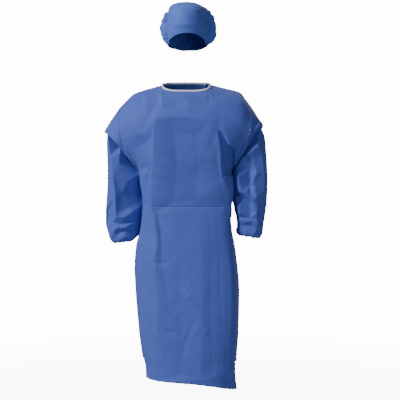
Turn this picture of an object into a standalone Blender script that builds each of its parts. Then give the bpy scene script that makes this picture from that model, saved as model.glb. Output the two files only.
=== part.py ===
"""Isolation suit, as worn: a long-sleeved gown that closes at the back, and its gathered cap.

The gown is worked out as one surface: each row or ring of points is read from the tables
below, and the surface is divided into quads. Each cut piece then takes its own quads, stands
back from its seams and is given the thickness of the cloth. The cap is made the same way.

Metres, +Z up. The front faces -Y and the wearer's left is +X. The origin is the middle of the
neck opening, level with the points where the neckline meets the shoulders. The first row of
each table names its columns.
"""

import math

import bmesh
import bpy
import numpy as np

# Cloth
WALL = 0.0018
SEAM = 0.0003  # clearance between neighbouring pieces

# How finely the garments are divided
SHOULDER_COLUMNS = 6  # from armhole to neck
NECK_COLUMNS = 12  # along the front of the neckline, and again along its back
YOKE_ROWS = 10  # from the shoulder line down to the underarm
LAP_COLUMNS = 3  # how far each back panel passes the middle of the back
GOWN_COLUMNS = 2 * SHOULDER_COLUMNS + NECK_COLUMNS
LAP_SHARE = LAP_COLUMNS / GOWN_COLUMNS
CAP_COLUMNS = 28
CAP_FRONT_COLUMNS = 10  # of the cap's columns, those of its smooth front piece
CAP_FRONT_ROWS = 6

# Neckline
NECK_HALF = 0.0985
NECK_CENTRE = -0.0025
NECK_FRONT = 0.078
NECK_FRONT_DROP = 0.037
NECK_BACK = 0.062
NECK_BACK_RISE = 0.011
NECK_SQUARENESS = 3.6
NECK_SIDE_Z = -0.002

# Back closure: how far the upper flap stands off the lower one
LAP_TOP = 0.0040
LAP_HEM = 0.0100
NORMAL_STEP = 0.01  # apart, in u and in rows, are the points that give the surface's direction

# Trims
BINDING_IN = 0.0050
BINDING_UP = 0.0068
BINDING_THICK = 0.0024
CUFF_LENGTH = 0.012
BELT_WIDTH = 0.036
BELT_NARROW = 0.020  # where it runs into the knot
BELT_THICK = 0.0020
BELT_ROW = 3.55  # BODY's row at the waist
BELT_STAND = 0.0014  # from the cloth beneath to the middle of the belt
BELT_START = 2  # columns of the front panel that each length of the belt is sewn across
KNOT_WIDTH = 0.030
KNOT_HEIGHT = 0.028
KNOT_DEPTH = 0.016
KNOT_BEVEL = 0.005
KNOT_STAND = 0.0016  # from the middle of the cloth to the knot
BELT_END_LENGTH = 0.150
BELT_END_WIDTH = 0.032
BELT_END_NARROW = 0.013  # where it leaves the knot
BELT_END_ASIDE = 0.55  # of that width, from the middle of the knot to the middle of the end
BELT_END_SPREADS_IN = 0.060  # how far down it has its full width
BELT_END_STAND = 0.0020
BELT_END_SPREAD_DEG = 14.0
TAB_HEIGHT = 0.022
TAB_THICK = 0.0012
TAB_STAND = 0.0011  # from the panel beneath to the middle of the tab
TAB_ROW = 0.5
TAB_COLUMNS = range(8, 13)  # the under flap's columns that it lies on

# Shoulder line, from the neck to the armhole
SHOULDERS = {
    "right": (
        ("x", "z"),
        (-0.101, -0.003),
        (-0.176, -0.024),
        (-0.212, -0.038),
        (-0.243, -0.066),
        (-0.270, -0.094),
    ),
    "left": (
        ("x", "z"),
        (0.096, -0.001),
        (0.160, -0.017),
        (0.212, -0.032),
        (0.236, -0.060),
        (0.268, -0.105),
    ),
}

# Armhole, from the shoulder (0) to the underarm (1)
ARMHOLES = {
    "right": (
        ("along", "x", "z", "front", "back"),
        (0.00, -0.270, -0.094, 0.000, 0.000),
        (0.20, -0.271, -0.118, -0.046, 0.046),
        (0.32, -0.268, -0.152, -0.070, 0.068),
        (0.47, -0.261, -0.207, -0.086, 0.083),
        (0.60, -0.241, -0.257, -0.088, 0.085),
        (0.71, -0.217, -0.298, -0.077, 0.075),
        (0.82, -0.203, -0.326, -0.054, 0.054),
        (1.00, -0.188, -0.348, -0.012, -0.012),
    ),
    "left": (
        ("along", "x", "z", "front", "back"),
        (0.00, 0.268, -0.105, 0.000, 0.000),
        (0.18, 0.263, -0.126, -0.042, 0.042),
        (0.32, 0.255, -0.159, -0.069, 0.068),
        (0.47, 0.246, -0.207, -0.083, 0.083),
        (0.60, 0.224, -0.250, -0.080, 0.085),
        (0.71, 0.204, -0.291, -0.064, 0.075),
        (0.82, 0.196, -0.323, -0.046, 0.054),
        (1.00, 0.180, -0.348, -0.012, -0.012),
    ),
}

# Depth of the gown at its middle, from the neckline (0) to the underarm (1). Above CHEST_FULL
# it still follows the neckline's own curve.
CHEST_FULL = 0.4
CHEST = (
    ("along", "front", "back"),
    (0.00, -0.078, 0.062),
    (0.15, -0.104, 0.088),
    (0.35, -0.126, 0.107),
    (0.60, -0.136, 0.115),
    (0.80, -0.136, 0.115),
    (1.00, -0.131, 0.112),
)

# Gown from the underarm down. Slant is how much lower the wearer's left side hangs, widest is
# the y at which the section is widest, and a dent is how far the side is pressed in by the
# arm beside it.
BODY = (
    ("z", "slant", "right", "left", "front", "back", "widest", "square", "dent_right", "dent_left",
     "seam_deg"),
    (-0.348, 0.000, -0.195, 0.188, -0.131, 0.112, 0.012, 2.6, 0.007, 0.008, 9.0),
    (-0.400, 0.000, -0.185, 0.188, -0.126, 0.106, -0.020, 2.9, 0.018, 0.018, 15.0),
    (-0.445, 0.000, -0.177, 0.184, -0.121, 0.101, -0.030, 3.1, 0.018, 0.017, 18.0),
    (-0.487, 0.000, -0.175, 0.178, -0.116, 0.099, -0.030, 3.2, 0.017, 0.012, 20.0),
    (-0.530, 0.000, -0.179, 0.176, -0.119, 0.104, -0.020, 3.1, 0.014, 0.008, 21.0),
    (-0.580, 0.001, -0.189, 0.181, -0.123, 0.114, 0.000, 2.9, 0.012, 0.004, 23.0),
    (-0.640, 0.002, -0.206, 0.192, -0.129, 0.124, 0.012, 2.7, 0.004, 0.000, 24.0),
    (-0.720, 0.004, -0.210, 0.203, -0.137, 0.131, 0.012, 2.6, 0.000, 0.000, 25.0),
    (-0.810, 0.006, -0.206, 0.209, -0.144, 0.134, 0.012, 2.6, 0.000, 0.000, 25.0),
    (-0.900, 0.008, -0.199, 0.209, -0.150, 0.134, 0.012, 2.6, 0.000, 0.000, 25.0),
    (-0.980, 0.010, -0.192, 0.206, -0.154, 0.132, 0.012, 2.6, 0.000, 0.000, 25.0),
    (-1.040, 0.012, -0.184, 0.202, -0.157, 0.131, 0.012, 2.6, 0.000, 0.000, 25.0),
    (-1.080, 0.016, -0.178, 0.199, -0.159, 0.130, 0.012, 2.6, 0.000, 0.000, 25.0),
    (-1.118, 0.032, -0.170, 0.200, -0.160, 0.130, 0.012, 2.6, 0.000, 0.000, 25.0),
    (-1.156, 0.049, -0.169, 0.206, -0.161, 0.130, 0.012, 2.6, 0.000, 0.000, 25.0),
)
BACK_HEM_ROW = 12  # the back panels end here and the front panel hangs on below
DENT_Y = 0.005  # the middle of a dent
DENT_REACH = 0.065

# Largest folds of the front panel: a line from (x1, z1) to (x2, z2), how far it is pushed in
# (or out, below zero), and how far it spreads to the wearer's right and left of the line
FOLD_FADE = 0.15  # share of a fold's length over which it dies away past each end, and before it
FOLD_SEAM_FADE = 0.06  # share of the panel's width beside each seam, free of folds
FOLD_TOP_FADE = 2  # rows below the shoulder line over which the folds grow
FRONT_FOLDS = (
    ("x1", "z1", "x2", "z2", "depth", "right", "left"),
    (0.168, -0.225, 0.172, -0.375, 0.024, 0.045, 0.030),  # pocket under the left shoulder
    (-0.133, -0.190, -0.206, -0.265, 0.009, 0.046, 0.050),  # drag towards the right underarm
    (-0.106, -0.500, -0.098, -0.690, 0.006, 0.034, 0.034),  # trough beside the right hip
)

# Sleeve rings after the armhole, from the outer edge to the inner one. Pinch is 1 for a round
# outer edge and 2 for a folded one, lean below 1 brings the fullest part of the front
# outward, and lift raises the front and back of a ring above its two edges. The first two
# rings are the drop of the shoulder and its rim, which overhangs the third, the tuck.
TUCK_RING = 3
RIM_MEETS = {"right": 0.66, "left": 0.56}  # how far down the armhole the rim runs into it
RIM_FADE = 0.25
SLEEVES = {
    "right": (
        ("x_out", "z_out", "x_in", "z_in", "y", "front", "back", "pinch", "lean", "lift"),
        (-0.305, -0.146, -0.201, -0.347, 0.000, 0.090, 0.086, 1.25, 1.00, 0.010),
        (-0.331, -0.191, -0.203, -0.352, 0.000, 0.090, 0.086, 1.50, 1.00, 0.020),
        (-0.317, -0.198, -0.199, -0.357, 0.000, 0.068, 0.070, 1.50, 1.00, 0.016),
        (-0.319, -0.236, -0.188, -0.384, 0.000, 0.070, 0.068, 1.00, 0.90, 0.010),
        (-0.315, -0.310, -0.180, -0.416, 0.000, 0.073, 0.069, 1.00, 0.65, 0.000),
        (-0.314, -0.380, -0.173, -0.450, -0.002, 0.073, 0.069, 1.00, 0.65, 0.000),
        (-0.318, -0.450, -0.172, -0.490, -0.006, 0.072, 0.068, 1.00, 0.70, 0.000),
        (-0.322, -0.515, -0.178, -0.532, -0.010, 0.070, 0.066, 1.00, 0.75, 0.000),
        (-0.322, -0.552, -0.185, -0.560, -0.014, 0.068, 0.064, 1.00, 0.80, 0.000),
        (-0.315, -0.585, -0.194, -0.586, -0.016, 0.063, 0.060, 1.00, 0.90, 0.000),
        (-0.304, -0.617, -0.208, -0.610, -0.018, 0.052, 0.050, 1.00, 1.00, 0.000),
        (-0.286, -0.632, -0.228, -0.626, -0.020, 0.037, 0.036, 1.00, 1.00, 0.000),
        (-0.281, -0.622, -0.235, -0.618, -0.020, 0.028, 0.028, 1.00, 1.00, 0.000),
    ),
    "left": (
        ("x_out", "z_out", "x_in", "z_in", "y", "front", "back", "pinch", "lean", "lift"),
        (0.288, -0.138, 0.190, -0.338, 0.000, 0.088, 0.086, 1.25, 1.00, 0.014),
        (0.305, -0.166, 0.190, -0.304, 0.000, 0.090, 0.086, 1.40, 1.00, 0.030),
        (0.300, -0.180, 0.193, -0.356, 0.000, 0.062, 0.066, 1.40, 1.00, 0.020),
        (0.311, -0.216, 0.188, -0.384, 0.000, 0.068, 0.066, 1.00, 0.90, 0.012),
        (0.317, -0.290, 0.187, -0.408, 0.000, 0.072, 0.068, 1.00, 0.85, 0.000),
        (0.321, -0.362, 0.184, -0.440, -0.002, 0.072, 0.068, 1.00, 0.85, 0.000),
        (0.320, -0.425, 0.186, -0.470, -0.006, 0.071, 0.067, 1.00, 0.85, 0.000),
        (0.316, -0.480, 0.190, -0.505, -0.010, 0.069, 0.065, 1.00, 0.90, 0.000),
        (0.309, -0.530, 0.197, -0.535, -0.012, 0.064, 0.061, 1.00, 0.95, 0.000),
        (0.304, -0.560, 0.199, -0.560, -0.015, 0.061, 0.058, 1.00, 1.00, 0.000),
        (0.301, -0.590, 0.194, -0.584, -0.016, 0.056, 0.054, 1.00, 1.00, 0.000),
        (0.287, -0.614, 0.208, -0.602, -0.018, 0.042, 0.041, 1.00, 1.00, 0.000),
        (0.271, -0.606, 0.222, -0.598, -0.018, 0.028, 0.028, 1.00, 1.00, 0.000),
    ),
}

# Cap rings from the hem up: heights at the forehead, the sides and the nape, the head's
# width and depth, and how far the gathered cloth puffs out at each side.
CAP = (
    ("z_front", "z_side", "z_back", "right", "left", "front", "back", "puff_right", "puff_left"),
    (0.187, 0.163, 0.158, -0.077, 0.078, -0.094, 0.090, 0.003, 0.004),
    (0.193, 0.173, 0.166, -0.078, 0.080, -0.096, 0.108, 0.012, 0.024),
    (0.206, 0.192, 0.184, -0.080, 0.082, -0.099, 0.128, 0.022, 0.034),
    (0.226, 0.219, 0.209, -0.082, 0.084, -0.102, 0.140, 0.026, 0.035),
    (0.250, 0.248, 0.236, -0.083, 0.085, -0.102, 0.143, 0.022, 0.030),
    (0.274, 0.273, 0.266, -0.082, 0.084, -0.097, 0.136, 0.010, 0.022),
    (0.296, 0.295, 0.291, -0.076, 0.078, -0.084, 0.116, 0.001, 0.012),
    (0.313, 0.312, 0.311, -0.058, 0.060, -0.060, 0.084, 0.000, 0.002),
    (0.323, 0.323, 0.323, -0.030, 0.034, -0.030, 0.046, 0.000, 0.000),
)
CAP_APEX = (0.002, 0.008, 0.327)
CAP_SEAM_DEG = 64.0  # where the front piece meets the gathered piece
CAP_PUFF_DEG = 26.0  # how far past that seam the puff is fully grown
CAP_HEM_DEPTH = 0.008
CAP_HEM_DRAWS_IN = 0.985  # of the size of the cap's edge, at the foot of its elastic

GOWN_BLUE = (0.085, 0.180, 0.480, 1.0)
TRIM_BLUE = (0.070, 0.150, 0.420, 1.0)
BINDING_WHITE = (0.680, 0.690, 0.860, 1.0)


# Numbers ----------------------------------------------------------------------------------


def column(table, name):
    """The values of one named column of a table."""
    place = table[0].index(name)
    return [row[place] for row in table[1:]]


def smooth(x):
    """0 below 0, 1 above 1, and an even rise between."""
    x = min(max(x, 0.0), 1.0)
    return x * x * (3 - 2 * x)


def curve(knots, values, at):
    """A smooth curve through values at rising knots, which never overshoots them."""
    knots, values = np.asarray(knots, float), np.asarray(values, float)
    step = np.diff(knots)
    slope = np.diff(values) / step
    tangent = np.zeros(len(knots))
    tangent[0], tangent[-1] = slope[0], slope[-1]
    for k in range(1, len(knots) - 1):
        if slope[k - 1] * slope[k] > 0:
            before, after = 2 * step[k] + step[k - 1], step[k] + 2 * step[k - 1]
            tangent[k] = (before + after) / (before / slope[k - 1] + after / slope[k])
    at = min(max(at, knots[0]), knots[-1])
    k = min(int(np.searchsorted(knots, at, side="right")) - 1, len(step) - 1)
    t = (at - knots[k]) / step[k]
    return float(
        values[k] * (1 + 2 * t) * (1 - t) ** 2
        + tangent[k] * step[k] * t * (1 - t) ** 2
        + values[k + 1] * t**2 * (3 - 2 * t)
        + tangent[k + 1] * step[k] * t**2 * (t - 1)
    )


def row_of(table, at):
    """Every column of a table, read smoothly at a row that may be a fraction."""
    return {name: curve(range(len(table) - 1), column(table, name), at) for name in table[0]}


def squared(angle, power):
    """Cosine and sine of an angle, on a circle that grows boxier as power passes 2."""
    c, s = math.cos(angle), math.sin(angle)
    reach = (abs(c) ** power + abs(s) ** power) ** (-1 / power)
    return c * reach, s * reach


def unit(vector):
    return vector / np.linalg.norm(vector)


# The gown's surface -----------------------------------------------------------------------
# u runs from the wearer's right to the left, and side is "front" or "back".


def neckline(turn, side):
    """A point of the neckline. turn runs from 0 at the right shoulder to 1 at the left one."""
    c, s = squared(math.pi * turn, NECK_SQUARENESS)
    x = NECK_CENTRE - NECK_HALF * c
    if side == "front":
        return np.array([x, -NECK_FRONT * s, NECK_SIDE_Z - NECK_FRONT_DROP * s**1.3])
    return np.array([x, NECK_BACK * s, NECK_SIDE_Z + NECK_BACK_RISE * s])


def shoulder(hand, along):
    """A point of the shoulder line, from the neck (0) to the armhole (1)."""
    line = SHOULDERS[hand]
    knots = np.linspace(0, 1, len(line) - 1)
    return np.array([curve(knots, column(line, "x"), along), 0.0, curve(knots, column(line, "z"), along)])


def top_edge(u, side):
    """The gown's upper edge: right shoulder line, neckline, left shoulder line."""
    share = SHOULDER_COLUMNS / GOWN_COLUMNS
    if u < share:
        return shoulder("right", 1 - u / share)
    if u > 1 - share:
        return shoulder("left", (u - 1 + share) / share)
    return neckline((u - share) / (1 - 2 * share), side)


def armhole(hand, v, side):
    """A point of an armhole, v running from the shoulder to the underarm."""
    table = ARMHOLES[hand]
    along = column(table, "along")
    return np.array([curve(along, column(table, name), v) for name in ("x", side, "z")])


def body_point(row, u, side):
    """A point of the gown below the underarm."""
    at = row_of(BODY, row)
    seam = math.radians(at["seam_deg"])
    sweep = math.pi - 2 * seam if side == "front" else -math.pi - 2 * seam
    c, s = squared(math.pi + seam + sweep * u, at["square"])
    dent = at["dent_right"] if c < 0 else at["dent_left"]
    depth = at["widest"] - at["front"] if s < 0 else at["back"] - at["widest"]
    y = at["widest"] + depth * s
    half = (at["left"] - at["right"]) / 2 - dent * max(0.0, 1 - ((y - DENT_Y) / DENT_REACH) ** 2) ** 2
    x = (at["left"] + at["right"]) / 2 + half * c
    return np.array([x, y, at["z"] - at["slant"] * ((c + 1) / 2) ** 3])


def yoke_point(u, v, side):
    """A point of the gown above the underarm, spanned between its four edges."""
    top, foot = top_edge(u, side), body_point(0, u, side)
    right, left = armhole("right", v, side), armhole("left", v, side)
    point = (1 - v) * top + v * foot + (1 - u) * right + u * left
    for end in (0, 1):
        share = u if end else 1 - u
        point = point - share * ((1 - v) * top_edge(end, side) + v * body_point(0, end, side))
    edge = (1 - u) * right[1] + u * left[1]
    middle = curve(column(CHEST, "along"), column(CHEST, side), v)
    full_top = top[1] / column(CHEST, side)[0]
    foot_edge = body_point(0, 0, side)[1]
    full_foot = (foot[1] - foot_edge) / (column(CHEST, side)[-1] - foot_edge)
    full = full_top + (full_foot - full_top) * smooth(v / CHEST_FULL)
    point[1] = edge + (middle - edge) * full
    return point


def fold_depth(x, z, folds):
    """How far the folds of a table push the cloth in at one place."""
    total = 0.0
    for fold in folds[1:]:
        at = dict(zip(folds[0], fold))
        along = np.array([at["x2"] - at["x1"], at["z2"] - at["z1"]])
        length = float(np.linalg.norm(along))
        along /= length
        reach = float(np.dot([x - at["x1"], z - at["z1"]], along)) / length
        across = float(np.dot([x - at["x1"], z - at["z1"]], [-along[1], along[0]]))
        spread = at["left"] if across > 0 else at["right"]
        fade = smooth((reach + FOLD_FADE) / (2 * FOLD_FADE))
        fade *= smooth((1 + FOLD_FADE - reach) / (2 * FOLD_FADE))
        total += at["depth"] * fade * smooth(1 - abs(across) / spread)
    return total


def gown_point(u, row, side):
    """A point of the gown. Rows up to YOKE_ROWS are the yoke, the rest are BODY's."""
    if row <= YOKE_ROWS:
        point = yoke_point(u, row / YOKE_ROWS, side)
    else:
        point = body_point(row - YOKE_ROWS, u, side)
    if side == "front":
        clear = smooth(min(u, 1 - u) / FOLD_SEAM_FADE) * smooth(row / FOLD_TOP_FADE)
        point[1] += clear * fold_depth(point[0], point[2], FRONT_FOLDS)
    return point


def gown_normal(u, row, side):
    """Downward and outward directions of the gown's surface at a point."""
    step = NORMAL_STEP
    down = unit(gown_point(u, row + step, side) - gown_point(u, max(row - step, 0.0), side))
    along = gown_point(u + step, row, side) - gown_point(u - step, row, side)
    out = unit(np.cross(along, down))
    return down, out if side == "back" else -out


def lap_stand(row):
    """How far the upper flap of the back stands off the lower one."""
    return LAP_TOP + (LAP_HEM - LAP_TOP) * row / (YOKE_ROWS + BACK_HEM_ROW)


def upper_flap(u, row):
    """A point of the left back panel, which stands off the right one where they overlap."""
    rise = lap_stand(row) * smooth((0.5 - u) / LAP_SHARE + 2)
    point = gown_point(u, row, "back")
    return point + gown_normal(u, row, "back")[1] * rise if rise else point


def sleeve_oval(hand, ring, v, side):
    """A point of one oval ring of a sleeve, v running from its outer edge to its inner one."""
    at = dict(zip(SLEEVES[hand][0], SLEEVES[hand][ring]))
    outer = np.array([at["x_out"], at["y"], at["z_out"]])
    inner = np.array([at["x_in"], at["y"], at["z_in"]])
    c = math.cos(math.pi * v)
    s = math.sin(math.pi * (v ** at["lean"] if side == "front" else v)) ** (at["pinch"] if c > 0 else 1)
    depth = -at["front"] * s if side == "front" else at["back"] * s
    return (outer + inner) / 2 + (outer - inner) / 2 * c + np.array([0, depth, at["lift"] * s])


def sleeve_ring(hand, ring):
    """The points round one ring of a sleeve: outer edge, front, inner edge, back."""
    edges = [(v / YOKE_ROWS, "front") for v in range(YOKE_ROWS + 1)]
    edges += [(v / YOKE_ROWS, "back") for v in range(YOKE_ROWS - 1, 0, -1)]
    points = []
    for v, side in edges:
        seam = armhole(hand, v, side)
        point = sleeve_oval(hand, ring, v, side) if ring else seam
        if 0 < ring < TUCK_RING:
            tucked = seam + (sleeve_oval(hand, TUCK_RING, v, side) - seam) * ring / TUCK_RING
            point = point + (tucked - point) * smooth((v - RIM_MEETS[hand]) / RIM_FADE + 1)
        points.append(point)
    return points


def cap_point(angle, row):
    """A point of the cap. The angle is 0 at the forehead and grows to the wearer's left."""
    at = row_of(CAP, row)
    across, ahead = math.sin(angle), math.cos(angle)
    hand = "left" if across > 0 else "right"
    past = (math.degrees(math.acos(ahead)) - CAP_SEAM_DEG) / CAP_PUFF_DEG
    half = abs(at[hand]) + at["puff_" + hand] * smooth(past)
    end = "front" if ahead > 0 else "back"
    z = at["z_side"] + (at["z_" + end] - at["z_side"]) * ahead**2
    return np.array([across * half, ahead * at["front"] if ahead > 0 else -ahead * at["back"], z])


# From surface to cut pieces ---------------------------------------------------------------


class Shell:
    """A surface of quads that neighbouring pieces share, each quad tagged with its piece."""

    def __init__(self):
        self.points, self.faces, self.tags, self.known = [], [], [], {}

    def vertex(self, point):
        """The number of the vertex at a point, which is added if it is new."""
        key = tuple(np.round(point, 6))
        if key not in self.known:
            self.known[key] = len(self.points)
            self.points.append(np.asarray(point, float))
        return self.known[key]

    def grid(self, tag, rows, flip=False):
        """Quads between rows of points. The tag is a name, or gives one for a row and column."""
        for r in range(len(rows) - 1):
            for c in range(len(rows[r]) - 1):
                loop = [rows[r][c], rows[r + 1][c], rows[r + 1][c + 1], rows[r][c + 1]]
                face = list(dict.fromkeys(self.vertex(p) for p in (reversed(loop) if flip else loop)))
                if len(face) > 2:
                    self.faces.append(face)
                    self.tags.append(tag(r, c) if callable(tag) else tag)

    def normals(self):
        """One outward normal for each vertex, shared by the pieces that meet there.

        It stands as square as it can to all the faces round the vertex, so a wall keeps
        its thickness at a fold and where sleeve and body part under the arm.
        """
        around = [[] for _ in self.points]
        for face in self.faces:
            ring = [self.points[v] for v in face]
            fans = [np.cross(ring[k] - ring[0], ring[k + 1] - ring[0]) for k in range(1, len(face) - 1)]
            for v in face:
                around[v].append(unit(sum(fans)))
        out = []
        for faces in around:
            middle = sum(faces) / len(faces)
            for turn in range(2, 60):
                middle = middle + (min(faces, key=middle.dot) - middle) / turn
            out.append(unit(middle))
        return out

    def piece(self, tag, normals, wall=WALL):
        """The closed wall of one piece, standing half a seam back from its neighbours."""
        points = self.points
        uses = {}
        for face in self.faces:
            for edge in zip(face, face[1:] + face[:1]):
                uses[frozenset(edge)] = uses.get(frozenset(edge), 0) + 1
        mine = [face for face, name in zip(self.faces, self.tags) if name == tag]
        edges = {}
        for face in mine:
            for a, b in zip(face, face[1:] + face[:1]):
                edges.setdefault(frozenset((a, b)), []).append((a, b, face))
        rim = [found[0] for found in edges.values() if len(found) == 1]
        moves = {}
        for a, b, face in rim:
            if uses[frozenset((a, b))] > 1:
                along = unit(points[b] - points[a])
                inward = np.mean([points[v] for v in face], axis=0) - points[a]
                inward = unit(inward - along * inward.dot(along)) * SEAM / 2
                moves.setdefault(a, []).append(inward)
                moves.setdefault(b, []).append(inward)
        used = sorted({v for face in mine for v in face})
        place = {v: k for k, v in enumerate(used)}
        middle = np.array([points[v] + seam_move(moves.get(v)) for v in used])
        lift = np.array([normals[v] for v in used]) * wall / 2
        faces = [[place[v] for v in face] for face in mine]
        faces += [[place[v] + len(used) for v in reversed(face)] for face in mine]
        faces += [[place[b], place[a], place[a] + len(used), place[b] + len(used)] for a, b, _ in rim]
        return np.vstack([middle + lift, middle - lift]), faces


def seam_move(moves):
    """One move that clears all the seam edges that meet at a vertex."""
    if not moves:
        return np.zeros(3)
    mean = sum(moves) / len(moves)
    half = (SEAM / 2) ** 2
    return mean * half / max(mean.dot(mean), 0.3 * half)


def strip(middles, across, outward, widths, thick):
    """A flat band along its middle points, with square ends."""
    points, faces, count = [], [], len(middles)
    for middle, side, out, width in zip(middles, across, outward, widths):
        for a, b in ((-1, 1), (1, 1), (1, -1), (-1, -1)):
            points.append(middle + side * a * width / 2 + out * b * thick / 2)
    for k in range(count - 1):
        for c in range(4):
            d = (c + 1) % 4
            faces.append([4 * k + c, 4 * k + d, 4 * k + 4 + d, 4 * k + 4 + c])
    faces += [[3, 2, 1, 0], [4 * count - 4 + c for c in range(4)]]
    return points, faces


def make(name, points, faces, colour, rough=0.85):
    """An object from points and faces, with its faces turned outward."""
    mesh = bpy.data.meshes.new(name)
    mesh.from_pydata([tuple(p) for p in points], [], faces)
    shape = bmesh.new()
    shape.from_mesh(mesh)
    bmesh.ops.recalc_face_normals(shape, faces=shape.faces)
    bmesh.ops.triangulate(shape, faces=shape.faces)
    shape.to_mesh(mesh)
    shape.free()
    finish = bpy.data.materials.new(name)
    finish.use_nodes = True
    shader = finish.node_tree.nodes["Principled BSDF"]
    shader.inputs["Base Color"].default_value = colour
    shader.inputs["Roughness"].default_value = rough
    shader.inputs["Metallic"].default_value = 0.0
    mesh.materials.append(finish)
    obj = bpy.data.objects.new(name, mesh)
    bpy.context.scene.collection.objects.link(obj)
    return obj


# The gown ---------------------------------------------------------------------------------


def bound_edge(edge):
    """The free edge of the neck binding, in and up from the neckline it is sewn to."""
    inward = unit(np.array([NECK_CENTRE, 0.0, 0.0]) - edge * (1, 1, 0))
    return edge + inward * BINDING_IN + np.array([0, 0, BINDING_UP])


def gown_shell():
    """The whole gown as one surface, tagged with the pieces it is cut from."""
    shell = Shell()
    across = [c / GOWN_COLUMNS for c in range(GOWN_COLUMNS + 1)]
    right_flap = across[: GOWN_COLUMNS // 2 + LAP_COLUMNS + 1]
    left_flap = across[GOWN_COLUMNS // 2 - LAP_COLUMNS :]
    front_rows = range(YOKE_ROWS + len(BODY) - 1)
    back_rows = range(YOKE_ROWS + BACK_HEM_ROW + 1)
    shell.grid("front_panel", [[gown_point(u, r, "front") for u in across] for r in front_rows])
    shell.grid("back_panel_right", [[gown_point(u, r, "back") for u in right_flap] for r in back_rows], True)
    shell.grid("back_panel_left", [[upper_flap(u, r) for u in left_flap] for r in back_rows], True)

    neck = across[SHOULDER_COLUMNS : GOWN_COLUMNS - SHOULDER_COLUMNS + 1]
    edge = [gown_point(u, 0, "back") for u in reversed(right_flap[SHOULDER_COLUMNS:])]
    edge += [gown_point(u, 0, "front") for u in neck[1:]]
    edge += [upper_flap(u, 0) for u in reversed(left_flap[: -SHOULDER_COLUMNS - 1])]
    shell.grid("neck_binding", [[bound_edge(p) for p in edge], edge])

    for hand, flip in (("right", False), ("left", True)):
        rings = [sleeve_ring(hand, r) for r in range(len(SLEEVES[hand]))]
        cuff = [point + np.array([0, 0, CUFF_LENGTH]) for point in rings[-1]]
        shell.grid("sleeve_" + hand, [ring + ring[:1] for ring in rings], flip)
        shell.grid("cuff_" + hand, [ring + ring[:1] for ring in (rings[-1], cuff)], flip)
    return shell


def build_gown():
    """The gown's cut pieces."""
    shell = gown_shell()
    normals = shell.normals()
    for name in ("front_panel", "back_panel_right", "back_panel_left", "sleeve_right", "sleeve_left"):
        make(name, *shell.piece(name, normals), GOWN_BLUE)
    make("neck_binding", *shell.piece("neck_binding", normals, BINDING_THICK), BINDING_WHITE)
    for name in ("cuff_right", "cuff_left"):
        make(name, *shell.piece(name, normals), TRIM_BLUE)


# Belt and neck tab ------------------------------------------------------------------------


def quad_point(u, row, side):
    """A point of the gown between two of its rows, as the panel's flat quads have it."""
    upper = math.floor(row)
    above, below = gown_point(u, upper, side), gown_point(u, upper + 1, side)
    return above + (below - above) * (row - upper)


def lie_on_gown(places, stand, over_flap=True):
    """Middle points, downward and outward directions of a band that lies on the gown.

    Over the flap, it also rises over the overlap of the back panels.
    """
    middles, downs, outs = [], [], []
    step = 1 / GOWN_COLUMNS
    for u, row, side in places:
        upper = math.floor(row)
        down = unit(gown_point(u, upper + 1, side) - gown_point(u, upper, side))
        out = unit(np.cross(quad_point(u + step, row, side) - quad_point(u - step, row, side), down))
        out = out if side == "back" else -out
        rise = lap_stand(row) * smooth(2 - abs(u - 0.5) / LAP_SHARE) if over_flap and side == "back" else 0
        middles.append(quad_point(u, row, side) + out * (stand + rise))
        downs.append(down)
        outs.append(out)
    return middles, downs, outs


def build_belt():
    """The belt: two lengths from the side seams to a knot at the back, and its two ends."""
    row = YOKE_ROWS + BELT_ROW
    stand = WALL / 2 + BELT_STAND
    middle, down, out = (found[0] for found in lie_on_gown([(0.5, row, "back")], KNOT_STAND))
    ends = [gown_point(0.5 + step, row, "back")[0] for step in (-NORMAL_STEP, NORMAL_STEP)]
    per_metre = 2 * NORMAL_STEP / (ends[1] - ends[0])
    knot_side = (KNOT_WIDTH / 2 + SEAM) * per_metre
    for hand, seam, toward in (("right", 0.0, -1), ("left", 1.0, 1)):
        places = [(seam - toward * k / GOWN_COLUMNS, row, "front") for k in range(BELT_START, 0, -1)]
        places += [(seam - toward * k / GOWN_COLUMNS, row, "back") for k in range(GOWN_COLUMNS // 2)]
        places.append((0.5 + toward * knot_side, row, "back"))
        widths = [BELT_WIDTH] * (len(places) - 2) + [(BELT_WIDTH + BELT_NARROW) / 2, BELT_NARROW]
        middles, downs, outs = lie_on_gown(places, stand)
        make("belt_" + hand, *strip(middles, downs, outs, widths, BELT_THICK), TRIM_BLUE)
        build_belt_end(hand, toward * per_metre, middle[2] - KNOT_HEIGHT / 2 - SEAM)
    build_knot(middle, down, out)


def build_belt_end(hand, aside, top):
    """One hanging end of the belt, bending where the skirt beneath it bends."""
    heights = [-z for z in column(BODY, "z")]
    swing = math.radians(BELT_END_SPREAD_DEG)
    foot = top - BELT_END_LENGTH * math.cos(swing)
    places, widths = [], []
    for z in [top] + [-height for height in heights if foot < -height < top] + [foot]:
        away = BELT_END_NARROW * BELT_END_ASIDE + (top - z) * math.tan(swing)
        places.append((0.5 + aside * away, YOKE_ROWS + np.interp(-z, heights, range(len(heights))), "back"))
        spread = smooth((top - z) / BELT_END_SPREADS_IN)
        widths.append(BELT_END_NARROW + (BELT_END_WIDTH - BELT_END_NARROW) * spread)
    middles, _, outs = lie_on_gown(places, WALL / 2 + BELT_END_STAND)
    across = [unit(np.cross(out, run)) for out, run in zip(outs, np.gradient(middles, axis=0))]
    make("belt_end_" + hand, *strip(middles, across, outs, widths, BELT_THICK), TRIM_BLUE)


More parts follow.
